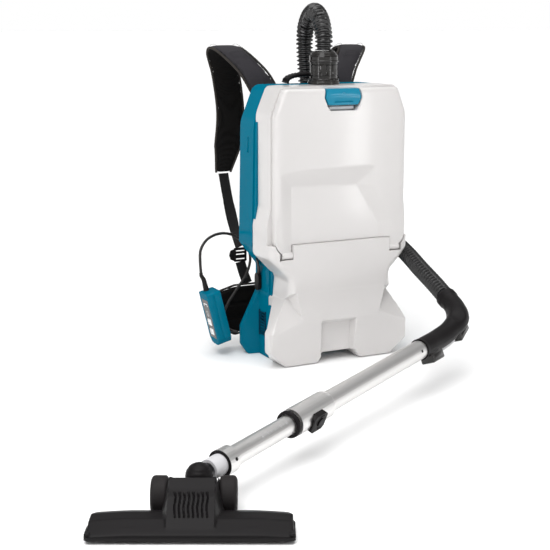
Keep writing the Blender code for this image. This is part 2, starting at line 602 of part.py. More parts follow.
def make_nozzle():
    frame = empty("nozzle_frame", Matrix.Translation(NOZZLE_PLACE) @ Matrix.Rotation(NOZZLE_YAW, 4, "Z"))
    axle = (0, WHEEL_BACK, WHEEL_RADIUS)
    profile = [(0.001, SOLE_THICKNESS + GAP), (NOZZLE_DEPTH, SOLE_THICKNESS + GAP), (NOZZLE_DEPTH, 0.018),
               (0.058, 0.026), (0.034, 0.028), (0.004, 0.013), (0.0, 0.010)]
    head = add("nozzle_head", prism(profile, -NOZZLE_HALF, NOZZLE_HALF, "YZ"), (BLACK, 0.5), frame, axle)
    for side, sign in (("left", -1), ("right", 1)):
        wedge = prism([(sign * 0.118, 0.090), (sign * 0.160, 0.090), (sign * 0.160, 0.036)], -0.01, 0.1, "XY")
        boolean(head, "cut_end_" + side, wedge)
    yoke_side = [(0.030, 0.0230), (0.118, 0.0150), (0.120, 0.0390), (0.094, 0.0390), (0.074, 0.0500), (0.046, 0.0500)]
    boolean(head, "join_yoke", prism(yoke_side, -0.0340, 0.0340, "YZ"), "UNION")
    boolean(head, "cut_dome_space", block((-0.0260, 0.0755, 0.010), (0.0260, 0.15, 0.08)))
    boolean(head, "cut_axle_hole", rod(AXLE_RADIUS + GAP, 0.10, (-0.05, WHEEL_BACK, WHEEL_RADIUS), (1, 0, 0)))
    add("sole_plate", block((-0.138, 0.018, 0.0), (0.138, 0.056, SOLE_THICKNESS)), (DARK_GREY, 0.5), frame)
    for name, back in (("front", 0.008), ("rear", 0.062)):
        add("brush_" + name, block((-0.120, back, 0.0004), (0.120, back + 0.006, SOLE_THICKNESS)), (BLACK, 0.9), frame)
    add("nozzle_axle", rod(AXLE_RADIUS, 0.1240, (-0.0620, WHEEL_BACK, WHEEL_RADIUS), (1, 0, 0), 16), (STEEL, 0.3, 1.0), frame)
    for side, sign in (("left", -1), ("right", 1)):
        wheel = turned([(AXLE_RADIUS + GAP, 0), (0.0255, 0), (WHEEL_RADIUS, 0.003), (WHEEL_RADIUS, WHEEL_WIDTH - 0.003),
                        (0.0255, WHEEL_WIDTH), (AXLE_RADIUS + GAP, WHEEL_WIDTH)],
                       (sign * WHEEL_INNER, WHEEL_BACK, WHEEL_RADIUS), (sign, 0, 0), 32)
        add("wheel_" + side, wheel, (BLACK, 0.5), frame, (sign * WHEEL_INNER, WHEEL_BACK, WHEEL_RADIUS))
    rings = 8
    dome = [(0, -DOME_RADIUS)]
    for step in range(1, rings):
        angle = math.pi * step / rings - math.pi / 2
        dome.append((DOME_RADIUS * math.cos(angle), DOME_RADIUS * math.sin(angle)))
    dome.append((0, DOME_RADIUS))
    add("swivel_dome", turned(dome, DOME_CENTRE, (0, 0, 1), 24), (BLACK, 0.4), frame, DOME_CENTRE)


def main():
    for obj in list(bpy.data.objects):
        bpy.data.objects.remove(obj, do_unlink=True)
    make_front_shell()
    make_rear_housing()
    make_vents()
    make_lid()
    make_lid_seal()
    make_latch()
    make_interior()
    make_batteries()
    make_cuff()
    cord("hose", HOSE_ROUTE, HOSE_RADIUS, HOSE_POINTS, (BLACK, 0.5), 2)
    make_carry_handle()
    make_harness()
    make_remote()
    cord("remote_cable", CABLE_ROUTE, CABLE_RADIUS, CABLE_POINTS, (BLACK, 0.6), 2)
    make_wand()
    make_elbow()
    make_nozzle()


main()
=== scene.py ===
"""Looks of the backpack vacuum cleaner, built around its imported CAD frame. Metres, +Z up."""
import json
import math

import bmesh
import bpy
import numpy as np
from mathutils import Matrix, Vector
from mathutils.geometry import delaunay_2d_cdt


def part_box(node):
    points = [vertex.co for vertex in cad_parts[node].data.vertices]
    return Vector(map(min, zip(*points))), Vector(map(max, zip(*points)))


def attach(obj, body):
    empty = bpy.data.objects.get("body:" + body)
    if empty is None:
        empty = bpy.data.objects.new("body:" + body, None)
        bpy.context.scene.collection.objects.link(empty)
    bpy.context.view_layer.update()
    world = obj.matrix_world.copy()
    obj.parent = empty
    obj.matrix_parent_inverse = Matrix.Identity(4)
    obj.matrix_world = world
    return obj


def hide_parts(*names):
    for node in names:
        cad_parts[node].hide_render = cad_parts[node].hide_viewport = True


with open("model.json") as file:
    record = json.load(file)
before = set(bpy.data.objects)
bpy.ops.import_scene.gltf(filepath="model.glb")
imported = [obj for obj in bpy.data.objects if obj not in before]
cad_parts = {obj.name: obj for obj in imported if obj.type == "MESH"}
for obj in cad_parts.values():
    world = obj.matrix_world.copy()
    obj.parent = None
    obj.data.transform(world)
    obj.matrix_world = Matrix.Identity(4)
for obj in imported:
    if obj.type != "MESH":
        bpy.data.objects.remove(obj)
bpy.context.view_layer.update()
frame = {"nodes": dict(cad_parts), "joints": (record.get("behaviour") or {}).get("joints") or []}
SIDES = (("left", -1), ("right", 1))

# Routes that part.py gives to the hose, its elbow, the remote's cable and the harness
HOSE_POINTS = 64
HOSE_ROUTE = [
    (0.000, -0.011, 0.644), (0.001, -0.009, 0.668), (0.004, 0.004, 0.694), (0.009, 0.028, 0.714),
    (0.016, 0.061, 0.723), (0.022, 0.094, 0.714), (0.026, 0.118, 0.693), (0.029, 0.130, 0.664),
    (0.031, 0.132, 0.630), (0.034, 0.131, 0.580), (0.036, 0.129, 0.520), (0.041, 0.128, 0.460),
    (0.050, 0.128, 0.400), (0.068, 0.128, 0.345), (0.095, 0.127, 0.300), (0.128, 0.122, 0.268),
    (0.160, 0.101, 0.245), (0.187, 0.070, 0.232), (0.197, 0.038, 0.224), (0.199, 0.006, 0.218),
    (0.192, -0.055, 0.203), (0.186, -0.110, 0.185), (0.184, -0.165, 0.165), (0.182, -0.210, 0.147),
]
ELBOW_ROUTE = [
    (0.1818, -0.2150, 0.1450), (0.178, -0.252, 0.1310), (0.160, -0.289, 0.117), (0.125, -0.312, 0.103),
    (0.080, -0.335, 0.095), (0.048, -0.3525, 0.0927),
]
CABLE_RADIUS = 0.003
CABLE_ROUTE = [
    (-0.242, 0.080, 0.1735), (-0.244, 0.080, 0.200), (-0.241, 0.084, 0.228), (-0.224, 0.090, 0.248),
    (-0.198, 0.096, 0.257), (-0.172, 0.099, 0.256), (-0.146, 0.100, 0.244), (-0.124, 0.100, 0.222),
    (-0.118, 0.100, 0.192), (-0.130, 0.098, 0.160), (-0.153, 0.096, 0.131), (-0.177, 0.091, 0.102),
    (-0.190, 0.085, 0.074), (-0.187, 0.077, 0.057), (-0.180, 0.066, 0.050), (-0.1690, 0.056, 0.047),
]
STRAP_ROUTE = [
    (0.085, 0.085, 0.552), (0.110, 0.102, 0.600), (0.150, 0.135, 0.645), (0.150, 0.175, 0.638),
    (0.122, 0.212, 0.585), (0.107, 0.225, 0.505), (0.116, 0.220, 0.430), (0.134, 0.205, 0.375),
]
WEBBING_ROUTE = [
    (0.1345, 0.2040, 0.3725), (0.133, 0.180, 0.310), (0.131, 0.150, 0.250), (0.129, 0.130, 0.2185),
]
LOWER_WEBBING_ROUTE = [(0.129, 0.128, 0.1855), (0.124, 0.121, 0.160), (0.118, 0.1150, 0.1385)]

# Pack sizes that the frame's boxes don't state
UP = (0, 0, 1)
FRONT_Y = -0.100
SPLIT_Y = -0.0103
SHELF_Y = -0.0777
REAR_Y = 0.065
RECESS_FLOOR = 0.1265
RECESS_TOP = 0.137
LOBE_BACK_Y = -0.072
REAR_FLANGE_Y = 0.045
SEAM = 0.0009
WALL = 0.003
CUFF_Y = -0.011
CUFF_FOOT = (0, CUFF_Y, 0)

# Studio brightness at rising sines of elevation
STUDIO_PEAK = 3.0
STUDIO_DIM = 0.34
STUDIO_BANDS = (
    (0.0, 1.0), (0.10, 1.0), (0.20, STUDIO_DIM), (0.78, STUDIO_DIM), (0.93, STUDIO_PEAK), (1.0, STUDIO_PEAK),
)

# Linear colours
WHITE = (0.590, 0.573, 0.565)
TEAL = (0.000, 0.135, 0.215)
BLACK = (0.0100, 0.0092, 0.0096)
SILVER = (0.74, 0.73, 0.72)


# ---------------------------------------------------------------- curves and outlines

def smooth_path(points, count):
    """Points evenly spread in parameter on a Catmull-Rom curve through `points`."""
    knots = [Vector(p) for p in points]
    knots = [2 * knots[0] - knots[1]] + knots + [2 * knots[-1] - knots[-2]]
    spans = len(points) - 1
    path = []
    for index in range(count):
        place = index * spans / (count - 1)
        span = min(int(place), spans - 1)
        t = place - span
        a, b, c, d = knots[span:span + 4]
        path.append(0.5 * (2 * b + (c - a) * t + (2 * a - 5 * b + 4 * c - d) * t ** 2
                           + (3 * b - a - 3 * c + d) * t ** 3))
    return path


def reaches(path):
    """How far along a path each of its points lies."""
    reach = [0.0]
    for a, b in zip(path, path[1:]):
        reach.append(reach[-1] + (b - a).length)
    return reach


def tangent_at(path, index):
    return (path[min(index + 1, len(path) - 1)] - path[max(index - 1, 0)]).normalized()


def evenly(path, step):
    """The same path with points a constant distance apart."""
    path = [Vector(p) for p in path]
    reach = reaches(path)
    count = max(2, round(reach[-1] / step))
    spaced = []
    index = 0
    for k in range(count + 1):
        want = reach[-1] * k / count
        while index < len(path) - 2 and reach[index + 1] < want:
            index += 1
        share = (want - reach[index]) / max(reach[index + 1] - reach[index], 1e-9)
        spaced.append(path[index].lerp(path[index + 1], min(1.0, share)))
    return spaced


def rounded(corners, turn=9):
    """Turn (u, v, radius) corners into an outline whose corners are arcs."""
    outline = []
    for index, (u, v, radius) in enumerate(corners):
        corner = Vector((u, v))
        if radius == 0:
            outline.append(corner)
            continue
        before = (Vector(corners[index - 1][:2]) - corner).normalized()
        after = (Vector(corners[(index + 1) % len(corners)][:2]) - corner).normalized()
        half_angle = before.angle(after) / 2
        reach = radius / math.tan(half_angle)
        centre = corner + (before + after).normalized() * (radius / math.sin(half_angle))
        start = corner + before * reach - centre
        sweep = start.angle_signed(corner + after * reach - centre)
        steps = max(2, round(abs(sweep) / math.radians(turn)))
        for step in range(steps + 1):
            outline.append(centre + Matrix.Rotation(-sweep * step / steps, 2) @ start)
    return outline


def mirrored(right_half):
    """Close a right-hand outline, given from bottom centre to top centre, with its mirror image."""
    return right_half + [(-u, v, radius) for u, v, radius in reversed(right_half) if u != 0]


def centred_box(half_width, low, high, radius):
    """Corners of a rectangle about u = 0."""
    sides = ((-1, low), (1, low), (1, high), (-1, high))
    return [(sign * half_width, v, radius) for sign, v in sides]


def resampled(outline, step):
    """A closed outline with its long edges split into short ones."""
    dense = []
    for index, here in enumerate(outline):
        after = outline[(index + 1) % len(outline)]
        parts = max(1, round((after - here).length / step))
        dense += [here.lerp(after, k / parts) for k in range(parts)]
    return dense


def each(value, count):
    """A list as it is, or a single value repeated `count` times."""
    return value if hasattr(value, "__len__") else [value] * count


def inset(outline, distance):
    """Move every edge of a counter-clockwise outline inwards."""
    shifted = []
    for index, here in enumerate(outline):
        into = (here - outline[index - 1]).normalized()
        out = (outline[(index + 1) % len(outline)] - here).normalized()
        normal_in = Vector((-into.y, into.x))
        normal_out = Vector((-out.y, out.x))
        bisector = (normal_in + normal_out).normalized()
        shifted.append(here + bisector * (distance / max(0.4, bisector.dot(normal_in))))
    return shifted


# ---------------------------------------------------------------- mesh making

def from_bmesh(name, bm, look, body, replaces=(), sharp=38):
    """Make a piece of a body: shade it, give it its material and hang it on its CAD body."""
    bmesh.ops.recalc_face_normals(bm, faces=bm.faces)
    mesh = bpy.data.meshes.new(name)
    bm.to_mesh(mesh)
    bm.free()
    mesh.shade_smooth()
    if sharp:
        mesh.set_sharp_from_angle(angle=math.radians(sharp))
    obj = bpy.data.objects.new(name, mesh)
    bpy.context.scene.collection.objects.link(obj)
    obj.data.materials.append(look)
    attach(obj, body)
    if replaces:
        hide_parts(*replaces)
    return obj


def carve(bm, cutters, bevel=0.0, segments=3, angle=32):
    """Cut bodies out of a body, then round its edges. Gives the result as a bmesh."""
    scene = bpy.context.scene
    held = []
    for index, part in enumerate([bm] + list(cutters)):
        bmesh.ops.recalc_face_normals(part, faces=part.faces)
        mesh = bpy.data.meshes.new("carve_%d" % index)
        part.to_mesh(mesh)
        part.free()
        obj = bpy.data.objects.new("carve_%d" % index, mesh)
        scene.collection.objects.link(obj)
        held.append(obj)
    for cutter in held[1:]:
        modifier = held[0].modifiers.new("cut", "BOOLEAN")
        modifier.operation = "DIFFERENCE"
        modifier.object = cutter
    if bevel:
        modifier = held[0].modifiers.new("round", "BEVEL")
        modifier.width = bevel
        modifier.segments = segments
        modifier.limit_method = "ANGLE"
        modifier.angle_limit = math.radians(angle)
    evaluated = held[0].evaluated_get(bpy.context.evaluated_depsgraph_get())
    result = bmesh.new()
    result.from_mesh(evaluated.to_mesh())
    for obj in held:
        mesh = obj.data
        bpy.data.objects.remove(obj, do_unlink=True)
        bpy.data.meshes.remove(mesh)
    return result


def joined(*parts):
    """Several bodies in one bmesh."""
    whole = bmesh.new()
    for part in parts:
        mesh = bpy.data.meshes.new("join")
        part.to_mesh(mesh)
        part.free()
        whole.from_mesh(mesh)
        bpy.data.meshes.remove(mesh)
    return whole


def moved(bm, matrix):
    bmesh.ops.transform(bm, matrix=matrix, verts=bm.verts)
    return bm


def bridge(bm, first, second):
    """Join two rings of equally many vertices with faces."""
    for index in range(len(first)):
        after = (index + 1) % len(first)
        bm.faces.new((first[index], first[after], second[after], second[index]))


def prism(outline, low, high, plane="XZ"):
    """Extrude an outline between two values of the axis that its plane leaves out."""
    place = {
        "XZ": lambda p, w: (p[0], w, p[1]),
        "YZ": lambda p, w: (w, p[0], p[1]),
        "XY": lambda p, w: (p[0], p[1], w),
    }[plane]
    bm = bmesh.new()
    ends = [[bm.verts.new(place(p, w)) for p in outline] for w in (low, high)]
    bm.faces.new(ends[0])
    bm.faces.new(reversed(ends[1]))
    bridge(bm, ends[1], ends[0])
    return bm


def block(low, high, bevel=0.0, segments=3):
    bm = bmesh.new()
    bmesh.ops.create_cube(bm, size=1.0)
    low, high = Vector(map(min, low, high)), Vector(map(max, low, high))
    for vert in bm.verts:
        vert.co = (low + high) / 2 + Vector(a * b for a, b in zip(vert.co, high - low))
    if bevel:
        eased(bm, bevel, -1, segments)
    return bm


def eased(bm, width, least, segments=3):
    """Round the edges whose faces meet at more than `least` radians."""
    chosen = [edge for edge in bm.edges if edge.calc_face_angle(0) > least]
    bmesh.ops.bevel(bm, geom=chosen, offset=width, segments=segments, profile=0.5, affect="EDGES")
    return bm


def turned(profile, start, direction, sides=48):
    """Turn a closed (radius, distance) profile about the line from `start` along `direction`."""
    axis = Vector(direction).normalized()
    aim = axis.to_track_quat("Z", "Y").to_matrix()
    bm = bmesh.new()
    rings = []
    for radius, distance in profile:
        if radius == 0:
            rings.append([bm.verts.new(Vector(start) + axis * distance)])
            continue
        ring = []
        for side in range(sides):
            angle = math.tau * side / sides
            local = Vector((radius * math.cos(angle), radius * math.sin(angle), distance))
            ring.append(bm.verts.new(Vector(start) + aim @ local))
        rings.append(ring)
    pairs = list(zip(rings, rings[1:]))
    if profile[0][0] != 0:
        pairs.append((rings[-1], rings[0]))
    for first, second in pairs:
        for side in range(sides):
            after = (side + 1) % sides
            corners = [first[side % len(first)], first[after % len(first)],
                       second[after % len(second)], second[side % len(second)]]
            bm.faces.new(list(dict.fromkeys(corners)))
    return bm


def rod(radius, foot, direction, length):
    return turned([(0, 0), (radius, 0), (radius, length), (0, length)], foot, direction)


def softened(profile, radius, steps=3):
    """Round the corners of a closed (radius, distance) profile, except those on the axis."""
    points = [Vector(p) for p in profile]
    count = len(points)
    smooth = []
    for index, here in enumerate(points):
        if here.x == 0:
            smooth.append(tuple(here))
            continue
        before, after = points[index - 1], points[(index + 1) % count]
        reach = min(radius, (before - here).length * 0.45, (after - here).length * 0.45)
        start = here + (before - here).normalized() * reach
        end = here + (after - here).normalized() * reach
        for step in range(steps + 1):
            t = step / steps
            smooth.append(tuple(start * (1 - t) ** 2 + here * (2 * t * (1 - t)) + end * t ** 2))
    return smooth


def frames_along(path):
    """A tangent and two steady cross directions at each point of a path."""
    tangents = [tangent_at(path, index) for index in range(len(path))]
    across = tangents[0].orthogonal().normalized()
    frames = []
    for tangent in tangents:
        across = (across - tangent * across.dot(tangent)).normalized()
        frames.append((tangent, across, tangent.cross(across)))
    return frames


def swept(path, radii, sides):
    """A tube along a path, with closed ends: `radii` is a number or one for each point."""
    bm = bmesh.new()
    rings = []
    for place, radius, (_, across, up) in zip(path, each(radii, len(path)), frames_along(path)):
        ring = []
        for side in range(sides):
            angle = math.tau * side / sides
            spoke = across * (radius * math.cos(angle)) + up * (radius * math.sin(angle))
            ring.append(bm.verts.new(place + spoke))
        rings.append(ring)
    for first, second in zip(rings, rings[1:]):
        bridge(bm, first, second)
    for ring, place in ((rings[0], path[0]), (rings[-1], path[-1])):
        centre = bm.verts.new(place)
        for side in range(sides):
            bm.faces.new((ring[side], ring[(side + 1) % sides], centre))
    return bm


def banded(path, width, thickness, side, rim=0.0, sheared=False):
    """A flat strap along a path: `width` is a number or one for each point. UVs are metres."""
    widths = each(width, len(path))
    bm = bmesh.new()
    uv = bm.loops.layers.uv.new("UVMap")
    upper = [(-1, 0), (-0.94, 0.8), (-0.82, 1 - rim), (-0.4, 1), (0, 1), (0.4, 1), (0.82, 1 - rim),
             (0.94, 0.8)]
    section = upper + [(-a, -b) for a, b in upper]
    reach = reaches(path)
    rows = []
    for index, place in enumerate(path):
        tangent = tangent_at(path, index)
        flat = Vector(side[index]) if hasattr(side[0], "__len__") else Vector(side)
        if not sheared:
            flat = (flat - tangent * flat.dot(tangent)).normalized()
        lift = tangent.cross(flat).normalized() * (thickness / 2)
        rows.append([bm.verts.new(place + flat * (a * widths[index] / 2) + lift * b) for a, b in section])
    around = len(section)
    for index, (row, later) in enumerate(zip(rows, rows[1:])):
        for k in range(around):
            after = (k + 1) % around
            face = bm.faces.new((row[k], row[after], later[after], later[k]))
            us = (section[k][0], section[after][0], section[after][0], section[k][0])
            vs = (reach[index], reach[index], reach[index + 1], reach[index + 1])
            for loop, u, v in zip(face.loops, us, vs):
                loop[uv].uv = (u * widths[index] / 2, v)
    bm.faces.new(rows[0])
    bm.faces.new(reversed(rows[-1]))
    return bm


# ---------------------------------------------------------------- materials

class Look:
    """A material under construction: a Principled shader and the nodes that feed it."""

    def __init__(self, name, colour, roughness, metallic=0.0, **sockets):
        self.material = bpy.data.materials.new(name)
        self.material.use_nodes = True
        self.nodes = self.material.node_tree.nodes
        self.links = self.material.node_tree.links
        self.shader = self.nodes["Principled BSDF"]
        self.colour = colour
        self.roughness = roughness
        self.shader.inputs["Base Color"].default_value = (*colour, 1)
        self.shader.inputs["Roughness"].default_value = roughness
        self.shader.inputs["Metallic"].default_value = metallic
        for label, value in sockets.items():
            self.shader.inputs[label.replace("_", " ")].default_value = value
        self.place = self.nodes.new("ShaderNodeTexCoord")
        self.height = None

    def feed(self, node, **values):
        made = self.nodes.new("ShaderNode" + node)
        for label, value in values.items():
            label = label.replace("_", " ")
            if isinstance(value, bpy.types.NodeSocket):
                self.links.new(value, made.inputs[label])
            else:
                made.inputs[label].default_value = value
        return made

    def coordinates(self, stretch=(1, 1, 1), turn=(0, 0, 0), uv=False):
        source = self.place.outputs["UV" if uv else "Object"]
        return self.feed("Mapping", Vector=source, Scale=stretch, Rotation=turn).outputs[0]

    def noise(self, scale, detail=3.0, roughness=0.55, where=None):
        where = where or self.place.outputs["Object"]
        made = self.feed("TexNoise", Vector=where, Scale=scale, Detail=detail, Roughness=roughness)
        return made.outputs["Fac"]

    def cells(self, scale, randomness):
        where = self.place.outputs["Object"]
        made = self.feed("TexVoronoi", Vector=where, Scale=scale, Randomness=randomness)
        return made.outputs["Distance"]

    def waves(self, scale, axis, where, distortion=0.0):
        made = self.feed("TexWave", Vector=where, Scale=scale, Distortion=distortion)
        made.bands_direction = axis
        return made.outputs["Fac"]

    def ranged(self, source, low, high, start=0.0, end=1.0):
        made = self.nodes.new("ShaderNodeMapRange")
        self.links.new(source, made.inputs["Value"])
        for label, value in (("From Min", start), ("From Max", end), ("To Min", low), ("To Max", high)):
            made.inputs[label].default_value = value
        return made.outputs[0]

    def maths(self, operation, first, second):
        made = self.nodes.new("ShaderNodeMath")
        made.operation = operation
        for socket, value in zip(made.inputs, (first, second)):
            if isinstance(value, bpy.types.NodeSocket):
                self.links.new(value, socket)
            else:
                socket.default_value = value
        return made.outputs[0]

    def tint(self, factor, darker, lighter):
        """Vary the colour between two shades of it."""
        made = self.nodes.new("ShaderNodeMix")
        made.data_type = "RGBA"
        self.links.new(factor, made.inputs["Factor"])
        made.inputs["A"].default_value = (*[c * darker for c in self.colour], 1)
        made.inputs["B"].default_value = (*[min(1, c * lighter) for c in self.colour], 1)
        self.links.new(made.outputs["Result"], self.shader.inputs["Base Color"])
        return self

    def gloss(self, factor, spread, start=0.3, end=0.7):
        made = self.ranged(factor, self.roughness - spread, self.roughness + spread, start, end)
        self.links.new(made, self.shader.inputs["Roughness"])
        return self

    def relief(self, factor, distance, strength=1.0):
        made = self.feed("Bump", Height=factor, Strength=strength, Distance=distance)
        if self.height:
            self.links.new(self.height, made.inputs["Normal"])
        self.height = made.outputs[0]
        self.links.new(self.height, self.shader.inputs["Normal"])
        return self


def moulded(name, colour, roughness, grain=0.00004, size=1400, spread=0.05, **sockets):
    """Injection-moulded plastic: faint mottling, fine spark grain and uneven gloss."""
    look = Look(name, colour, roughness, **sockets)
    look.tint(look.noise(9, 4), 0.97, 1.03)
    look.gloss(look.noise(35, 5), spread)
    look.relief(look.noise(3, 2), 0.0004, 0.10)
    return look.relief(look.noise(size, 3), grain, 0.7).material


def satin_metal(name, colour, roughness, turn):
    """Anodised tube, drawn along its length."""
    look = Look(name, colour, roughness, 1.0)
    drawn = look.noise(1, 4, where=look.coordinates((900, 900, 6), turn))
    look.tint(drawn, 0.985, 1.0)
    look.gloss(look.noise(14, 3), 0.02)
    return look.relief(drawn, 0.000003, 0.4).material


def woven(name, colour, rib=0.0011, pick=0.0016):
    """Polyester webbing: ribs across, picks along, from UVs in metres."""
    look = Look(name, colour, 0.75, Sheen_Weight=0.08, Sheen_Roughness=0.4, Specular_IOR_Level=0.2)
    where = look.coordinates(uv=True)
    ribs = look.waves(math.tau / rib / 20, "X", where)
    picks = look.waves(math.tau / pick / 20, "Y", where, 0.4)
    weave = look.maths("MULTIPLY", ribs, picks)
    look.tint(weave, 0.55, 1.7)
    look.relief(weave, 0.0005, 0.8)
    return look.relief(look.noise(2500, 2), 0.0001, 0.4).material


def nylon(name, colour):
    """Tight plain-weave cover fabric with a slight shine."""
    look = Look(name, colour, 0.70, Sheen_Weight=0.03, Sheen_Roughness=0.35, Specular_IOR_Level=0.25)
    where = look.coordinates()
    warp = look.waves(95, "X", where, 0.6)
    weft = look.waves(95, "Z", where, 0.6)
    weave = look.maths("ADD", warp, weft)
    look.tint(look.noise(18, 4), 0.8, 1.25)
    look.relief(weave, 0.00012, 0.6)
    return look.relief(look.noise(60, 3), 0.0006, 0.35).material


def spacer(name, colour):
    """Open spacer mesh: a lattice of small round holes."""
    look = Look(name, colour, 0.85, Specular_IOR_Level=0.05)
    holes = look.cells(390, 0.15)
    # Painted shade: the holes are painted darker than the threads around them, as the shade inside the holes.
    look.tint(look.ranged(holes, 0, 1, 0.18, 0.42), 0.25, 1.5)
    look.relief(look.ranged(holes, 0, 1, 0.15, 0.45), 0.0007, 0.9)
    return look.relief(look.noise(45, 3), 0.0008, 0.3).material


def fleece(name, colour):
    """Soft fibre: fine fuzz over broad, gentle creases."""
    look = Look(name, colour, 0.92, Sheen_Weight=0.6, Sheen_Roughness=0.6)
    look.tint(look.noise(160, 6), 0.86, 1.06)
    look.relief(look.noise(420, 6), 0.0006, 0.6)
    return look.relief(look.noise(22, 4), 0.0020, 0.4).material


def joint_axis(name):
    return Vector(next(joint["axis"] for joint in frame["joints"] if joint["name"] == name))


wand_axis = joint_axis("wand_extend")
wand_turn = tuple(wand_axis.rotation_difference(Vector((0, 0, 1))).to_euler())

white = moulded("white_plastic", WHITE, 0.30, 0.000002, 1800, 0.010, Coat_Weight=0.35, Coat_Roughness=0.10)
teal = moulded("teal_plastic", TEAL, 0.36, 0.00002, 1500, 0.05, Specular_IOR_Level=0.0,
              Coat_Weight=0.12, Coat_Roughness=0.12)
# Painted light: a lighter copy of the teal plastic, so that the latch lever looks lit.
lit_latch_teal = moulded("lit_latch_teal_plastic", (0.008, 0.195, 0.310), 0.34, 0.00002, 1500, 0.05,
                     Specular_IOR_Level=0.1, Coat_Weight=0.2, Coat_Roughness=0.1)
# Painted shade: a darker copy of the teal plastic, for the grille slats deep in the flank recess.
shaded_teal = moulded("shaded_teal_plastic", (0.000, 0.030, 0.060), 0.45, Specular_IOR_Level=0.2)
black = moulded("black_plastic", BLACK, 0.42, 0.00007, 1100, 0.06, Specular_IOR_Level=0.12)
satin_black = moulded("satin_black_plastic", (0.0090, 0.0080, 0.0085), 0.42, 0.00004, 1000, 0.02,
                      Specular_IOR_Level=0.09)
gloss_black = moulded("gloss_black_plastic", (0.0100, 0.0088, 0.0080), 0.13, 0.00001, 1800, 0.03,
                      Specular_IOR_Level=0.45)
hose_black = moulded("hose_plastic", (0.0090, 0.0086, 0.0090), 0.22, 0.00003, 1300, 0.05,
                     Specular_IOR_Level=0.55)
grey = moulded("grey_plastic", (0.56, 0.555, 0.57), 0.38)
rubber = moulded("rubber", (0.0190, 0.0170, 0.0172), 0.60, 0.00010, 800, 0.06, Specular_IOR_Level=0.10)
cable_skin = moulded("cable_skin", (0.022, 0.020, 0.019), 0.45, 0.00004, 1600, 0.05, Specular_IOR_Level=0.3)
tube = satin_metal("tube_metal", SILVER, 0.36, wand_turn)
steel = satin_metal("steel", (0.60, 0.60, 0.61), 0.22, (0, 0, 0))
webbing = woven("webbing", BLACK)
strap_cloth = nylon("strap_cloth", (0.022, 0.020, 0.024))
piping_cloth = nylon("piping_cloth", (0.026, 0.022, 0.019))
mesh_cloth = spacer("spacer_mesh", (0.0060, 0.0056, 0.0054))
bag_cloth = fleece("bag_fleece", (0.78, 0.77, 0.73))
filter_media = fleece("filter_media", (0.82, 0.82, 0.78))
board_green = moulded("board", (0.015, 0.12, 0.045), 0.4)
thread = woven("thread", (0.05, 0.048, 0.052), 0.0004, 0.0005)
white_mark = moulded("white_mark", (0.82, 0.82, 0.82), 0.4)
copper = satin_metal("contact_metal", (0.85, 0.62, 0.35), 0.3, (0, 0, 0))


# ---------------------------------------------------------------- camera, stage and lights

def make_camera():
    camera = bpy.data.objects.new("camera", bpy.data.cameras.new("camera"))
    camera.location = (-1.172, -2.1702, 0.6937)
    camera.rotation_euler = (math.radians(77.95), 0, math.radians(-26.148))
    camera.data.lens = 76.45
    camera.data.sensor_width = 36
    camera.data.clip_end = 500
    bpy.context.scene.collection.objects.link(camera)
    bpy.context.scene.camera = camera


def make_stage():
    """A pale floor, painted lighter with distance as painted light, so that its shade meets the studio's
    background at the horizon.
    """
    look = Look("floor", (0.94, 0.94, 0.94), 0.9, Specular_IOR_Level=0.1)
    reach = look.feed("VectorMath", Vector=look.place.outputs["Object"])
    reach.operation = "LENGTH"
    # Painted light: the floor's colour grows lighter with distance from the pack, up to white.
    look.tint(look.ranged(reach.outputs["Value"], 0, 1, 1.5, 8.0), 1.0, 1.28)
    look.relief(look.noise(40, 2), 0.0001, 0.1)
    half = 150
    corners = ((-half, -half, 0), (half, -half, 0), (half, half, 0), (-half, half, 0))
    bm = bmesh.new()
    bm.faces.new([bm.verts.new(p) for p in corners])
    mesh = bpy.data.meshes.new("floor")
    bm.to_mesh(mesh)
    bm.free()
    obj = bpy.data.objects.new("floor", mesh)
    obj.location.z = -0.0006
    obj.data.materials.append(look.material)
    bpy.context.scene.collection.objects.link(obj)


LIGHT_TARGET = Vector((0, 0, 0.3))


def area_light(name, place, size, power):
    data = bpy.data.lights.new(name, "AREA")
    data.shape = "RECTANGLE"
    data.size, data.size_y = size
    data.energy = power
    obj = bpy.data.objects.new(name, data)
    obj.location = place
    obj.rotation_euler = (LIGHT_TARGET - Vector(place)).to_track_quat("-Z", "Y").to_euler()
    bpy.context.scene.collection.objects.link(obj)


def make_lights():
    """White horizon, a dimmer band above it and a broad overhead softbox, with three area lights."""
    world = bpy.data.worlds.new("studio")
    world.use_nodes = True
    nodes, links = world.node_tree.nodes, world.node_tree.links
    place = nodes.new("ShaderNodeTexCoord")
    split = nodes.new("ShaderNodeSeparateXYZ")
    ramp = nodes.new("ShaderNodeValToRGB")
    scale = nodes.new("ShaderNodeMath")
    scale.operation = "MULTIPLY"
    scale.inputs[1].default_value = STUDIO_PEAK
    links.new(place.outputs["Generated"], split.inputs[0])
    links.new(split.outputs["Z"], ramp.inputs["Fac"])
    elements = ramp.color_ramp.elements
    for height, _ in STUDIO_BANDS[1:-1]:
        elements.new(height)
    for height, level in STUDIO_BANDS:
        stop = min(elements, key=lambda e: abs(e.position - height))
        stop.color = (level / STUDIO_PEAK,) * 3 + (1,)
    links.new(ramp.outputs["Color"], scale.inputs[0])
    nodes["Background"].inputs["Color"].default_value = (1, 1, 1, 1)
    links.new(scale.outputs[0], nodes["Background"].inputs["Strength"])
    bpy.context.scene.world = world
    bpy.context.scene.view_settings.view_transform = "Standard"
    area_light("key", (-1.6, -1.6, 2.4), (1.9, 1.9), 42)
    area_light("right_strip", (1.5, -2.6, 0.9), (0.12, 1.8), 9)
    area_light("left_strip", (-2.6, -0.9, 0.9), (0.12, 1.8), 8)


# ---------------------------------------------------------------- hose, elbow and cable

RIB_PITCH = 0.0088
RIB_CREST = 0.0187
RIB_DEPTH = 0.0046
RIB_PROFILE = (0.0, 0.10, 0.75, 1.0, 1.0, 1.0, 0.75, 0.10)


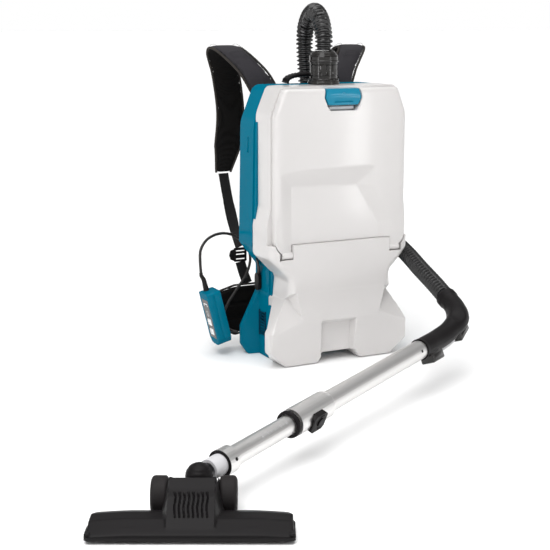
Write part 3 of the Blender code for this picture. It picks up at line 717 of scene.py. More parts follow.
def make_hose():
    """Corrugated hose: narrow crests a constant pitch apart."""
    route = smooth_path(HOSE_ROUTE, HOSE_POINTS)
    path = evenly(route, RIB_PITCH / len(RIB_PROFILE))
    radii = [RIB_CREST - RIB_DEPTH * RIB_PROFILE[k % len(RIB_PROFILE)] for k in range(len(path))]
    tube_body = swept(path, radii, 40)
    hose = from_bmesh("corrugated_hose", tube_body, hose_black, "pack", ("hose",), 50)


def make_cable():
    """The remote's lead, from the pack's flank to the remote."""
    route = evenly(smooth_path(CABLE_ROUTE, 160), 0.0025)
    lead_body = swept(route, CABLE_RADIUS, 16)
    cable = from_bmesh("remote_lead", lead_body, cable_skin, "pack", ("remote_cable",), 0)


# ---------------------------------------------------------------- carried-over CAD nodes

def dress(look, *names):
    for name in names:
        obj = frame["nodes"][name]
        obj.data.materials.clear()
        obj.data.materials.append(look)


def dress_nodes():
    """Materials for the CAD nodes that no piece replaces."""
    dress(teal, "side_vent_left", "side_vent_right")
    dress(gloss_black, "remote_face")
    dress(satin_black, "tube_lock_button", "sole_plate")
    dress(tube, "outer_tube", "inner_tube", "tube_collar", "lower_collar")
    dress(grey, "nozzle_neck")
    dress(steel, "hinge_pin_left", "hinge_pin_right", "motor_shaft", "nozzle_axle")
    dress(rubber, "lid_seal", "motor_mount")
    dress(black, "motor", "fan", "bag_holder", "battery_left", "battery_right")
    dress(copper, "battery_terminal_left", "battery_terminal_right")
    dress(board_green, "circuit_board")


# ---------------------------------------------------------------- front shell and lid

FRONT_OUTLINE = [
    (0.0, 0.020, 0), (0.036, 0.020, 0.008), (0.051, 0.0, 0.008), (0.126, 0.0, 0.008),
    (0.165, 0.033, 0.012), (0.165, 0.076, 0.012), (0.122, 0.140, 0.010), (0.118, 0.185, 0.020),
    (0.163, 0.232, 0.016), (0.163, 0.292, 0.030), (0.155, 0.335, 0.030), (0.155, 0.520, 0.050),
    (0.132, 0.575, 0.014), (0.0, 0.575, 0),
]
REAR_OUTLINE = [
    (0.0, 0.0, 0), (0.150, 0.0, 0.004), (0.165, 0.022, 0.006), (0.165, 0.062, 0.008),
    (0.126, 0.140, 0.010), (0.126, 0.196, 0.012), (0.165, 0.246, 0.012), (0.160, 0.500, 0.060),
    (0.130, 0.575, 0.020), (0.0, 0.575, 0),
]
LID_OUTLINE = [
    (0.0, 0.2583, 0), (0.1143, 0.2583, 0.0012), (0.1143, 0.2368, 0.0012), (0.152, 0.2368, 0.030),
    (0.152, 0.515, 0.040), (0.132, 0.571, 0.012), (0.0395, 0.571, 0.0015), (0.0432, 0.5525, 0.003),
    (0.0365, 0.5350, 0.003), (0.0300, 0.5262, 0.003), (0.0, 0.5262, 0),
]
LID_BOTTOM = 0.2583
HINGE_Y = -0.0925
HINGE_Z = 0.2368
EAR_START = 0.1136
KNUCKLE_GAP = 0.0081


def soft_max(a, b, width):
    """The larger of two arrays, with the crease between them rounded over `width`."""
    h = np.clip(0.5 + 0.5 * (a - b) / width, 0, 1)
    return b + (a - b) * h + width * h * (1 - h)


def soft_min(a, b, width):
    """The smaller of two arrays, rounded in the same way."""
    return -soft_max(-a, -b, width)


def edge_distance(points, outline):
    """Distance from each (u, v) point to the nearest edge of a closed outline."""
    corners = np.array([tuple(p) for p in outline])
    after = np.roll(corners, -1, axis=0)
    nearest = np.full(len(points), 1e9)
    for start, end in zip(corners, after):
        edge = end - start
        share = np.clip(((points - start) @ edge) / max(edge @ edge, 1e-12), 0, 1)
        nearest = np.minimum(nearest, np.linalg.norm(points - start - share[:, None] * edge, axis=1))
    return nearest


def roll(distance, across, deep):
    """Depth of a rounded border `across` wide and `deep` deep, at a distance from the edge."""
    reach = np.clip(1 - distance / across, 0, 1)
    return deep * (1 - np.sqrt(np.clip(1 - reach ** 2, 0, 1)))


def lid_depth(x, z):
    """The lid's sunken lower panel, whose upper and side edges slope."""
    top = (0.412 - z) / 0.036
    left = (x + 0.150) / 0.036
    right = (0.128 - 0.62 * np.clip(z - 0.292, 0, 0.08) - x) / 0.038
    share = np.clip(soft_min(soft_min(top, left, 0.10), right, 0.10), 0, 1)
    crown = 0.0035 * np.clip(np.abs(x) / 0.150, 0, 1) ** 3
    upper = 0.0030 * np.clip((z - 0.505) / 0.06, 0, 1) ** 1.5
    return soft_max(0.0115 * share * (1 - 0.35 * np.clip((0.37 - z) / 0.11, 0, 1)), crown + upper, 0.0012)


def lower_depth(x, z):
    """The lower front: a raised tongue, faceted lobes and the sunken panel between them."""
    foot = 0.093 - 0.020 * x
    lean = 0.25 * np.clip(0.150 - z, 0, 0.1)
    left = 2.2 * (-0.104 + lean - x)
    right = 2.2 * (x - 0.104 + lean)
    tongue = soft_max(soft_max(left, right, 0.002), 1.8 * (foot - z), 0.003)
    step_to_lid = 0.0040 * np.clip((z - 0.205) / 0.045, 0, 1)
    tongue = soft_max(tongue, step_to_lid, 0.0012)
    chest = 1.6 * (0.158 - z) + step_to_lid
    across = np.abs(x)
    shoulder = 0.42 * (z - (0.067 + 0.42 * (0.165 - across)))
    lobe = soft_max(shoulder, 0.0065 + 0.10 * (0.030 - z), 0.0015)
    beside = np.clip((0.042 - np.abs(x + 0.005)) / 0.008, 0, 1)
    lobe = soft_max(lobe, (0.0165 + 0.05 * (0.09 - z)) * beside, 0.0015)
    return soft_min(soft_min(tongue, chest, 0.002), lobe, 0.002)


def front_depth(points, outline):
    """How far the pack's front surface lies behind its foremost plane."""
    x, z = points[:, 0], points[:, 1]
    upper = lid_depth(x, z)
    lower = lower_depth(x, z)
    low_share = np.clip((LID_BOTTOM + 0.0006 - z) / 0.0012, 0, 1)
    inner = upper * (1 - low_share) + lower * low_share
    distance = edge_distance(points, outline)
    blend_in = np.clip((z - 0.215) / 0.02, 0, 1)
    across = 0.0125 + 0.0115 * blend_in
    deep = 0.0185 + 0.0025 * blend_in
    return np.clip(soft_max(inner, roll(distance, across, deep), 0.0012), 0, 0.034)


def relief_body(outline, depth, back, grid=0.003, side_rows=(), fine=lambda p: True, detail=None):
    """A closed body: its front follows `depth` behind FRONT_Y and its walls run straight back.

    Grid points are kept where `fine` accepts them, and `detail` is (u0, v0, u1, v1, step) of a finer patch.
    """
    edge = resampled(outline, 0.003)
    boundary = np.array([tuple(p) for p in edge])
    inner = []
    for step in (0.0006, 0.0015, 0.0028, 0.0045, 0.0066, 0.0090, 0.0118):
        ring = np.array([tuple(p) for p in inset(edge, step)])
        inner.append(ring[edge_distance(ring, edge) > step * 0.93])
    low, high = boundary.min(0), boundary.max(0)
    columns = np.arange(low[0], high[0], grid)
    rows = np.arange(low[1], high[1], grid * 0.866)
    points = np.array([(u + grid / 2 * (k % 2), v)
                       for k, v in enumerate(rows) for u in columns if fine((u, v))])
    points = points[inside(points, boundary)]
    inner.append(points[edge_distance(points, edge) > 0.0138])
    if detail:
        u0, v0, u1, v1, step = detail
        close = [(u, v) for u in np.arange(u0, u1, step) for v in np.arange(v0, v1, step * 1.6)]
        inner.append(np.array(close))
    inner = np.vstack(inner)
    inner = inner[inside(inner, boundary)]
    flat = [Vector(p) for p in boundary] + [Vector(p) for p in inner]
    made = delaunay_2d_cdt(flat, [], [list(range(len(boundary)))], 1, 1e-7)
    places = np.array([tuple(p) for p in made[0]])
    depths = depth(places)
    bm = bmesh.new()
    front = [bm.verts.new((u, FRONT_Y + d, v)) for (u, v), d in zip(places, depths)]
    for face in made[2]:
        bm.faces.new([front[k] for k in face])
    rim = front[:len(boundary)]
    for y in (*side_rows, back):
        row = [bm.verts.new((p[0], y, p[1])) for p in edge]
        bridge(bm, row, rim)
        rim = row
    bm.faces.new(rim)
    return bm


def inside(points, outline):
    """Which (u, v) points lie inside a closed outline."""
    points = np.atleast_2d(points)
    corners = np.array([tuple(p) for p in outline])
    after = np.roll(corners, -1, axis=0)
    hits = np.zeros(len(points), int)
    for (u0, v0), (u1, v1) in zip(corners, after):
        if v0 == v1:
            continue
        crossing = (points[:, 1] > min(v0, v1)) & (points[:, 1] <= max(v0, v1))
        at = u0 + (points[:, 1] - v0) * (u1 - u0) / (v1 - v0)
        hits += crossing & (points[:, 0] < at)
    return hits % 2 == 1


def narrowed(outline):
    """The same outline, kept a wall's thickness inside the flank recesses."""
    limit = RECESS_FLOOR - WALL
    return [Vector((max(-limit, min(limit, u)), v)) if v < RECESS_TOP else Vector((u, v)) for u, v in outline]


def neck_bore(radius, low, length):
    """A cutter on the axis of the cuff."""
    return rod(radius, (0, CUFF_Y, low), UP, length)


def make_front_shell():
    """The white front: its relief, its hollow, the lid's opening, hinge pockets and battery mouths."""
    outer = rounded(mirrored(FRONT_OUTLINE))
    body = relief_body(outer, lambda p: front_depth(p, outer), SPLIT_Y,
                       side_rows=(-0.0600, -0.0480),
                       fine=lambda p: p[1] < 0.275 or (round(p[1] / 0.0026) % 6 == 0))
    thinner = inset(outer, WALL)
    cutters = [block((-0.2, -0.2, LID_BOTTOM - SEAM / 3), (0.2, SHELF_Y, 0.7))]
    cutters.append(prism(narrowed([c for c in thinner if c.y < 0.268]), FRONT_Y + 0.0375, 0.01))
    cutters.append(prism([c for c in thinner if c.y > 0.262], SHELF_Y + WALL, 0.01))
    cutters.append(prism(rounded(centred_box(0.128, 0.275, 0.505, 0.014)), -0.09, -0.06))
    for _, sign in SIDES:
        pocket = rounded([(EAR_START, 0.2720, 0), (EAR_START, 0.2360, 0.0014), (0.1530, 0.2358, 0.0272),
                          (0.1530, 0.2720, 0)])
        cutters.append(prism([(sign * p.x, p.y) for p in pocket], -0.2, SHELF_Y))
        relief = [(0, 0), (KNUCKLE_GAP, 0), (KNUCKLE_GAP, 0.0150), (0.0089, 0.0210), (0.0114, 0.0285),
                  (0.0114, 0.0300), (0, 0.0300)]
        cutters.append(turned(relief, (sign * EAR_START, HINGE_Y, HINGE_Z), (sign, 0, 0)))
        cutters.append(block((sign * EAR_START, -0.2, HINGE_Z - KNUCKLE_GAP),
                             (sign * 0.1426, HINGE_Y + 0.0002, HINGE_Z + 0.0005)))
        recess = [(RECESS_FLOOR, -0.030), (RECESS_FLOOR, 0.020), (0.2, 0.020), (0.2, LOBE_BACK_Y),
                  (0.160, LOBE_BACK_Y)]
        cutters.append(prism([(sign * u, v) for u, v in recess], -0.01, 0.150, "XY"))
        cutters.append(block((sign * 0.0540, -0.081, -0.01), (sign * 0.1220, -0.014, 0.016)))
    cutters.append(neck_bore(0.022, 0.555, 0.05))
    from_bmesh("shell_front", carve(body, cutters), white, "pack", ("front_shell",), 24)


def make_lid():
    """The lid: the same relief inside its own outline, hollow, ribbed and with two hinge ears."""
    outer = rounded(mirrored(FRONT_OUTLINE))
    outline = rounded(mirrored(LID_OUTLINE), 7)

    def depth(points):
        seam = roll(edge_distance(points, outline), 0.0016, 0.0016)
        above = np.maximum(points[:, 1], LID_BOTTOM + 0.001)
        return front_depth(np.column_stack((points[:, 0], above)), outer) + seam

    body = relief_body(outline, depth, -0.0780)
    inner = rounded(mirrored([
        (0.0, 0.2383, 0), (0.1148, 0.2383, 0), (0.1148, 0.2633, 0.003), (0.147, 0.2633, 0.006),
        (0.147, 0.513, 0.036), (0.128, 0.566, 0.010), (0.048, 0.566, 0.003), (0.048, 0.5225, 0.003),
        (0.0, 0.5225, 0),
    ]))
    rib_front, rib_back = FRONT_Y + 0.0140, FRONT_Y + 0.0170
    ribs = []
    for z in (0.310, 0.360, 0.410, 0.460):
        ribs.append(block((-0.146, rib_front, z), (0.146, rib_back, z + 0.002), 0.0004, 1))
    for _, sign in SIDES:
        ribs.append(block((sign * 0.060, rib_front, 0.266), (sign * 0.062, rib_back, 0.518), 0.0004, 1))
    lid = carve(body, [prism(inner, FRONT_Y + 0.0145, -0.05)])
    for _, sign in SIDES:
        ear = turned(softened([(0.0029, 0), (0.0073, 0), (0.0073, 0.0235), (0.0029, 0.0235)], 0.0008),
                     (sign * 0.1143, HINGE_Y, HINGE_Z), (sign, 0, 0))
        ribs.append(ear)
    from_bmesh("lid_panel", joined(lid, *ribs), white, "lid", ("lid",), 24)


def make_rear_housing():
    """The teal rear shell, with a rounded back edge, a hollow and its flank recesses."""
    outline = resampled(rounded(mirrored(REAR_OUTLINE)), 0.012)
    rounding = 0.014
    rows = [(SPLIT_Y + SEAM, 0.0006), (SPLIT_Y + SEAM + 0.0006, 0.0)]
    for step in range(7):
        angle = math.radians(90 * step / 6)
        rows.append((REAR_Y - rounding * (1 - math.sin(angle)), rounding * (1 - math.cos(angle)) * 0.8))
    bm = bmesh.new()
    rings = []
    for y, step in rows:
        shape = inset(outline, step) if step else outline
        rings.append([bm.verts.new((u, y, v)) for u, v in shape])
    for first, second in zip(rings, rings[1:]):
        bridge(bm, first, second)
    bm.faces.new(rings[0])
    bm.faces.new(rings[-1])
    cutters = [prism(narrowed(inset(outline, WALL)), SPLIT_Y - 0.01, REAR_Y - WALL)]
    recess = [(RECESS_FLOOR, -0.03), (0.2, -0.03), (0.2, REAR_FLANGE_Y), (0.160, REAR_FLANGE_Y),
              (RECESS_FLOOR, 0.036)]
    for _, sign in SIDES:
        cutters.append(prism([(sign * u, v) for u, v in recess], -0.01, 0.150, "XY"))
        cutters.append(block((sign * 0.118, 0.002, 0.044), (sign * 0.135, 0.034, 0.098)))
        cutters.append(block((sign * 0.1590, 0.012, 0.438), (sign * 0.17, 0.018, 0.470)))
    cutters.append(neck_bore(0.022, 0.555, 0.05))
    body = carve(bm, cutters, 0.0012, 2, 40)
    from_bmesh("housing_rear", body, teal, "pack", ("rear_housing",), 30)


def make_flanks():
    """The recessed flank: its floor in front of the vent, a bright rim and the grille, whose darker teal is
    painted shade.
    """
    for side, sign in SIDES:
        corners = ((-0.068, 0.006), (-0.012, 0.006), (-0.012, 0.118), (-0.040, 0.118), (-0.068, 0.100))
        floor = rounded([(y, z, 0.004) for y, z in corners])
        bm = prism(floor, sign * (RECESS_FLOOR - 0.0005), sign * (RECESS_FLOOR + 0.0010), "YZ")
        from_bmesh("flank_floor_" + side, bm, teal, "pack")
        slats = []
        for row in range(9):
            base = 0.0455 + row * 0.0059
            slats.append(block((sign * (RECESS_FLOOR + 0.0002), 0.0035, base),
                               (sign * (RECESS_FLOOR + 0.0016), 0.0325, base + 0.0028), 0.0005, 1))
        for y in (0.002, 0.0315):
            slats.append(block((sign * RECESS_FLOOR, y, 0.0430),
                               (sign * (RECESS_FLOOR + 0.0026), y + 0.0025, 0.0990), 0.0007, 2))
        # Painted shade: the slats get the darker copy of the teal plastic.
        from_bmesh("flank_grille_" + side, joined(*slats), shaded_teal, "pack")
        rim = ((0.1290, 0.0462, 0.1340), (0.1600, 0.0468, 0.0720), (0.1640, 0.0470, 0.0655),
               (0.1640, 0.0470, 0.0250), (0.1500, 0.0470, 0.0030))
        path = evenly([(sign * x, y, z) for x, y, z in rim], 0.003)
        from_bmesh("flank_rim_" + side, swept(path, 0.0016, 10), teal, "pack")


def make_latch():
    """The bent lever with its grip bar and arrow, and the keeper behind it."""
    hexagon = [(-0.034, 0.537, 0.005), (0.034, 0.537, 0.005), (0.041, 0.552, 0.004), (0.036, 0.570, 0.004),
               (-0.036, 0.570, 0.004), (-0.041, 0.552, 0.004)]
    outline = rounded(hexagon)

    def depth(points):
        z = points[:, 1]
        edge = roll(edge_distance(points, outline), 0.0035, 0.0035)
        bent = soft_max(0.30 * (z - 0.5565), 0.16 * (0.5520 - z), 0.0008)
        grip = 0.0024 * np.clip(1 - np.abs(z - 0.5435) / 0.0024, 0, 1) * (np.abs(points[:, 0]) < 0.020)
        return soft_max(edge, np.clip(bent, 0, 0.01), 0.0006) + grip

    plate = relief_body(outline, depth, -0.080, 0.0016)
    arrow = prism([(-0.0035, 0.5625), (0.0035, 0.5625), (0.0, 0.5585)], -0.0995, -0.0970)
    # Painted light: the lever gets the lighter copy of the teal plastic.
    from_bmesh("latch_lever", joined(plate, arrow), lit_latch_teal, "latch", ("lid_latch",), 30)
    pocket = block((-0.0285, -0.0895, 0.5275), (0.0285, -0.0785, 0.5345), 0.0015, 2)
    from_bmesh("latch_keeper", pocket, grey, "pack")


# ---------------------------------------------------------------- harness and dust bag

SWELL_FRAMES = 20
PIPING_RADIUS = 0.0024
STITCH_LIFT = 0.0078


def evaluated_bmesh(obj):
    """An object's mesh with its modifiers applied."""
    result = bmesh.new()
    result.from_mesh(obj.evaluated_get(bpy.context.evaluated_depsgraph_get()).to_mesh())
    return result


def plump(bm, cap, pinned, voxel, pressure):
    """Swell a padded form by up to `cap` with a short cloth simulation that holds the `pinned` points."""
    scene = bpy.context.scene
    bmesh.ops.recalc_face_normals(bm, faces=bm.faces)
    mesh = bpy.data.meshes.new("plump")
    bm.to_mesh(mesh)
    obj = bpy.data.objects.new("plump", mesh)
    scene.collection.objects.link(obj)
    remesh = obj.modifiers.new("remesh", "REMESH")
    remesh.mode = "VOXEL"
    remesh.voxel_size = voxel
    bm.free()
    even = evaluated_bmesh(obj)
    obj.modifiers.clear()
    even.to_mesh(mesh)
    even.free()
    start = [v.co.copy() for v in mesh.vertices]
    group = obj.vertex_groups.new(name="pin")
    group.add([k for k, co in enumerate(start) if pinned(co)], 1.0, "REPLACE")
    cloth = obj.modifiers.new("cloth", "CLOTH")
    cloth.settings.use_pressure = True
    cloth.settings.uniform_pressure_force = pressure
    cloth.settings.effector_weights.gravity = 0
    cloth.settings.vertex_group_mass = "pin"
    cloth.settings.quality = 4
    for number in range(1, SWELL_FRAMES + 1):
        scene.frame_set(number)
    swollen = evaluated_bmesh(obj)
    ends = [v.co.copy() for v in swollen.verts]
    swollen.free()
    obj.modifiers.clear()
    for vert, before, after in zip(mesh.vertices, start, ends):
        step = after - before
        vert.co = before + step * min(1.0, cap / max(step.length, 1e-9))
    scene.frame_set(1)
    smooth = obj.modifiers.new("smooth", "SMOOTH")
    smooth.iterations = 3
    fine = obj.modifiers.new("fine", "SUBSURF")
    fine.levels = 1
    result = evaluated_bmesh(obj)
    bpy.data.objects.remove(obj, do_unlink=True)
    bpy.data.meshes.remove(mesh)
    return result


def flipped(bm):
    """A left-hand copy of a right-hand body."""
    copy = bm.copy()
    bmesh.ops.transform(copy, matrix=Matrix.Scale(-1, 4, (1, 0, 0)), verts=copy.verts)
    bmesh.ops.reverse_faces(copy, faces=copy.faces)
    return copy


def both_sides(name, bm, look, nodes=None, second=None, chosen=None, pad=0):
    """Hang a right-hand body and its mirror image on the pack, with an optional second material."""
    for side, sign in SIDES:
        body = flipped(bm) if sign < 0 else bm.copy()
        replaced = [nodes + "_" + side] if nodes else ()
        piece = from_bmesh(name + "_" + side, body, look, "pack", replaced, 0 if pad else 38)
        if second:
            piece.data.materials.append(second)
            for polygon in piece.data.polygons:
                centre = Vector((polygon.center.x * sign, polygon.center.y, polygon.center.z))
                polygon.material_index = 1 if chosen(centre) else 0
    bm.free()


def piping(outline, y):
    """A bead around an outline that lies in the plane of one y."""
    rim = [Vector((p.x, y, p.y)) for p in outline]
    return swept(evenly(rim + rim[:1], 0.005), PIPING_RADIUS, 8)


def stitch_row(path, normal_at, length, gap, radius):
    """A row of raised stitches along a path."""
    stitches = bmesh.new()
    spaced = evenly(path, length + gap)
    for a, b in zip(spaced, spaced[1:]):
        along = (b - a).normalized()
        lift = normal_at(a) * radius * 0.6
        ends = [a + lift, a + along * (length * 0.5) + lift * 1.8, a + along * length + lift]
        bead = swept(ends, [radius * 0.6, radius, radius * 0.6], 6)
        stitches = joined(stitches, bead) if len(stitches.verts) else bead
    return stitches


def strap_frames():
    """Along the shoulder strap: its place, its cross direction, its outward direction and its width."""
    path = evenly(smooth_path(STRAP_ROUTE, 120), 0.004)
    flat = Vector((1, 0, 0))
    frames = []
    for index, place in enumerate(path):
        tangent = tangent_at(path, index)
        share = index / (len(path) - 1)
        width = 0.070 - 0.004 * share if share < 0.86 else 0.0666 - 0.20 * (share - 0.86)
        frames.append((place, flat, -tangent.cross(flat).normalized(), width))
    return frames


def make_straps():
    """Padded shoulder straps: mesh inside, cloth outside, with piping and stitches."""
    frames = strap_frames()
    path = [f[0] for f in frames]
    slim = banded(path, [f[3] - 0.004 for f in frames], 0.0105, [f[1] for f in frames], 0.25, True)
    edges = [[f[0] + f[1] * (sign * (f[3] / 2 - 0.002)) for f in frames] for sign in (-1, 1)]

    def nearest(co):
        return min(range(0, len(path), 2), key=lambda k: (path[k] - co).length_squared)

    def pinned(co):
        place, flat, _, width = frames[nearest(co)]
        return abs((co - place).dot(flat)) > width / 2 - 0.0045

    body = plump(slim, 0.0035, pinned, 0.0045, 3.0)

    def outer(co):
        place, _, out, _ = frames[nearest(co)]
        return (co - place).dot(out) > -0.0010

    both_sides("strap_pad", body, mesh_cloth, "shoulder_strap", strap_cloth, outer, 0.5)
    for label, edge in zip(("inner", "outer"), edges):
        both_sides("strap_piping_" + label, swept(evenly(edge, 0.004), 0.0026, 10), piping_cloth)
    rows = []
    for sign in (-1, 1):
        row = [f[0] + f[1] * (sign * (f[3] / 2 - 0.0085)) + f[2] * 0.0070 for f in frames[2:-3]]
        rows.append(stitch_row(row, lambda a: frames[nearest(a)][2], 0.0032, 0.0020, 0.0005))
    tack = []
    tack_half = 0.016
    for index in (24, 27):
        place, flat, out, _ = frames[index]
        row = [place + flat * s + out * STITCH_LIFT for s in (-tack_half, 0, tack_half)]
        tack.append(stitch_row(row, lambda a: out, 0.0030, 0.0008, 0.0006))
    for sign in (-1, 1):
        row = [place + flat * (sign * tack_half) + out * STITCH_LIFT for place, flat, out, _ in frames[24:28]]
        tack.append(stitch_row(row, lambda a: frames[24][2], 0.0030, 0.0008, 0.0006))
    both_sides("strap_stitching", joined(*rows, *tack), thread)
    place, flat, out, _ = frames[-6]
    down = (frames[-2][0] - place).normalized()
    corners = [Vector((u, v)) for u in (-0.013, 0.013) for v in (-0.012, 0.012)]
    cross = []
    for first, last in ((0, 3), (1, 2), (0, 2), (1, 3)):
        row = [place + flat * p.x + down * p.y + out * STITCH_LIFT for p in (corners[first], corners[last])]
        cross.append(stitch_row(row, lambda q: out, 0.0026, 0.0010, 0.0006))
    both_sides("strap_box_stitch", joined(*cross), thread)


def make_webbing():
    """The webbing below each strap, the tail that it doubles back to, and the ladder lock between them."""
    path = evenly(smooth_path(WEBBING_ROUTE, 60), 0.004)
    count = len(path)
    twist = [Vector((math.cos(a), math.sin(a), 0)) for a in
             [math.radians(62) * min(1, max(0, (k / count - 0.35) / 0.45)) for k in range(count)]]
    both_sides("webbing_strap", banded(path, 0.024, 0.0019, twist), webbing, "webbing")
    lower = evenly(smooth_path(LOWER_WEBBING_ROUTE, 30), 0.004)
    both_sides("webbing_tail", banded(lower, 0.024, 0.0019, (1, 0, 0)), webbing, "lower_webbing")
    low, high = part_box("buckle_right")
    centre = (low + high) / 2
    frame_body = block(low + Vector((0.0, 0.0012, 0)), high - Vector((0.0, 0.0012, 0)), 0.0022, 3)
    slots = [block((low.x + 0.0038, low.y - 0.01, z), (high.x - 0.0038, high.y + 0.01, z + 0.0032), 0.0006, 1)
             for z in (low.z + 0.0045, centre.z - 0.0006, high.z - 0.0085)]
    body = carve(frame_body, slots, 0.0006, 2, 50)
    tab = prism(rounded([(high.x - 0.001, centre.z - 0.014, 0.002), (high.x + 0.008, centre.z - 0.010, 0.003),
                         (high.x + 0.011, centre.z, 0.003), (high.x + 0.008, centre.z + 0.010, 0.003),
                         (high.x - 0.001, centre.z + 0.013, 0.002)]), centre.y - 0.0021, centre.y + 0.0021)
    grips = [block((low.x + 0.003, high.y - 0.0013, z), (high.x - 0.003, high.y, z + 0.0014), 0.0004, 1)
             for z in (low.z + 0.0012, high.z - 0.0030)]
    both_sides("ladder_lock", joined(body, tab, *grips), satin_black, "buckle")


def make_wings():
    """Padded waist wings with two quilted grooves and piping."""
    shape = [(0.070, 0.040, 0.010), (0.150, 0.026, 0.010), (0.212, 0.060, 0.020),
             (0.212, 0.120, 0.020), (0.150, 0.137, 0.010), (0.070, 0.137, 0.010)]
    outline = rounded(shape)
    slim = prism(inset(outline, 0.003), 0.1075, 0.1215)
    edge = [tuple(p) for p in outline]

    def pinned(co):
        return edge_distance(np.array([[co.x, co.z]]), edge)[0] < 0.0065 or co.x < 0.090

    body = plump(slim, 0.004, pinned, 0.005, 4.0)
    for vert in body.verts:
        for z in (0.066, 0.098):
            dip = 0.0030 * math.exp(-((vert.co.z - z) / 0.0035) ** 2)
            vert.co.y += dip if vert.co.y < 0.1145 else -dip
    both_sides("wing_pad", body, mesh_cloth, "waist_wing", None, None, 0.5)
    both_sides("wing_piping", piping(outline, 0.1145), piping_cloth)


def make_back_pad():
    """The back pad, with four grooves across it and one down its middle."""
    slim = block((-0.094, 0.0690, 0.064), (0.094, 0.1000, 0.511), 0.012, 3)
    pad = plump(slim, 0.005, lambda co: co.y < 0.0715, 0.006, 4.0)
    for vert in pad.verts:
        if vert.co.y > 0.085:
            for z in (0.160, 0.250, 0.340, 0.430):
                vert.co.y -= 0.0065 * math.exp(-((vert.co.z - z) / 0.006) ** 2)
            vert.co.y -= 0.0075 * math.exp(-(vert.co.x / 0.012) ** 2)
        vert.co.y = max(vert.co.y, 0.0656)
    piece = from_bmesh("lumbar_pad", pad, mesh_cloth, "pack", ("back_pad",), 0)
    rim = rounded(centred_box(0.0985, 0.060, 0.515, 0.016))
    from_bmesh("lumbar_piping", piping(rim, 0.0800), piping_cloth, "pack")


def make_dust_bag():
    """The creased fleece bag and its stiff collar card."""
    slim = block((-0.112, -0.062, 0.296), (0.112, 0.014, 0.519), 0.022, 3)
    bag = plump(slim, 0.006, lambda co: co.z > 0.510, 0.006, 4.0)
    for vert in bag.verts:
        fold = 0.0016 * math.sin(vert.co.x * 160 + 2.0 * math.sin(vert.co.z * 40))
        if vert.co.y < -0.03:
            vert.co.y += fold * (0.4 + 0.6 * min(1, abs(vert.co.z - 0.41) / 0.1))
    piece = from_bmesh("fleece_bag", bag, bag_cloth, "pack", ("dust_bag",), 0)
    collar = block((-0.055, -0.060, 0.5205), (0.055, 0.034, 0.5275), 0.003, 2)
    card = carve(collar, [neck_bore(0.0225, 0.51, 0.03)], 0.0008, 2, 50)
    from_bmesh("bag_collar_card", card, filter_media, "pack")


def make_side_strap():
    """A short strap beside the waist that ends in a rounded pull tab."""
    route = [(0.1440, 0.010, 0.2130), (0.1375, 0.018, 0.1990), (0.1325, 0.026, 0.1870),
             (0.1310, 0.031, 0.1740)]
    band = banded(evenly(smooth_path(route, 30), 0.003), 0.012, 0.0028, (0, 0.93, 0.36), 0.3)
    tab = eased(prism(rounded(centred_box(0.0098, -0.0185, 0.0185, 0.0088)), -0.0034, 0.0034), 0.0022, 0.8)
    tab = moved(tab, Matrix.Translation((0.1313, 0.0325, 0.1600)) @ Matrix.Rotation(math.radians(90), 4, "Z"))
    both_sides("waist_pull", joined(band, tab), satin_black)


# ---------------------------------------------------------------- cuff, handle, elbow and wand

WAND_TOP = Vector((0.017, -0.369, 0.091))


def fluted(bm, flutes, deep, low, high):
    """Press shallow flutes into the cuff's body between two heights, leaving its bore round."""
    for vert in bm.verts:
        if low < vert.co.z < high:
            offset = Vector((vert.co.x, vert.co.y - CUFF_Y, 0))
            angle = math.atan2(offset.y, offset.x)
            if offset.length > 0.024:
                vert.co -= offset.normalized() * deep * max(0, math.cos(angle * flutes)) ** 4
    return bm


def make_cuff():
    """The hose cuff: a notched bayonet ring, a fluted body and a stepped cap."""
    base = [(0.0205, 0.5757), (0.0335, 0.5757), (0.0335, 0.5800), (0.0318, 0.5812), (0.0318, 0.5838),
            (0.0330, 0.5846), (0.0312, 0.5875), (0.0205, 0.5875)]
    ring = turned(softened(base, 0.0007), CUFF_FOOT, UP, 96)
    notches = []
    for k in range(8):
        spin = Matrix.Translation(CUFF_FOOT) @ Matrix.Rotation(math.tau * (k + 0.35) / 8, 4, "Z")
        notches.append(moved(block((0.0316, -0.0030, 0.5835), (0.04, 0.0030, 0.5880)), spin))
    from_bmesh("cuff_bayonet", carve(ring, notches), gloss_black, "pack", ("cuff_ring",), 30)
    rows = [(0.0205, 0.5878), (0.0285, 0.5878), (0.0285, 0.5920), (0.0276, 0.5926), (0.0276, 0.5936),
            (0.0285, 0.5942), (0.0283, 0.5990), (0.0283, 0.6060), (0.0283, 0.6130), (0.0285, 0.6142),
            (0.0276, 0.6150), (0.0276, 0.6158), (0.0285, 0.6166), (0.0285, 0.6198), (0.0205, 0.6198)]
    body = fluted(turned(rows, CUFF_FOOT, UP, 128), 14, 0.0016, 0.5950, 0.6140)
    from_bmesh("cuff_body", body, gloss_black, "pack", ("hose_cuff",), 34)
    steps = [(0.0178, 0.6201), (0.0305, 0.6201), (0.0305, 0.6232), (0.0296, 0.6240), (0.0296, 0.6300),
             (0.0300, 0.6306), (0.0290, 0.6345), (0.0268, 0.6352), (0.0262, 0.6385), (0.0238, 0.6398),
             (0.0226, 0.6424), (0.0178, 0.6430)]
    cap = turned(softened(steps, 0.0006), CUFF_FOOT, UP, 96)
    from_bmesh("cuff_dome", cap, gloss_black, "pack", ("cuff_cap",), 30)


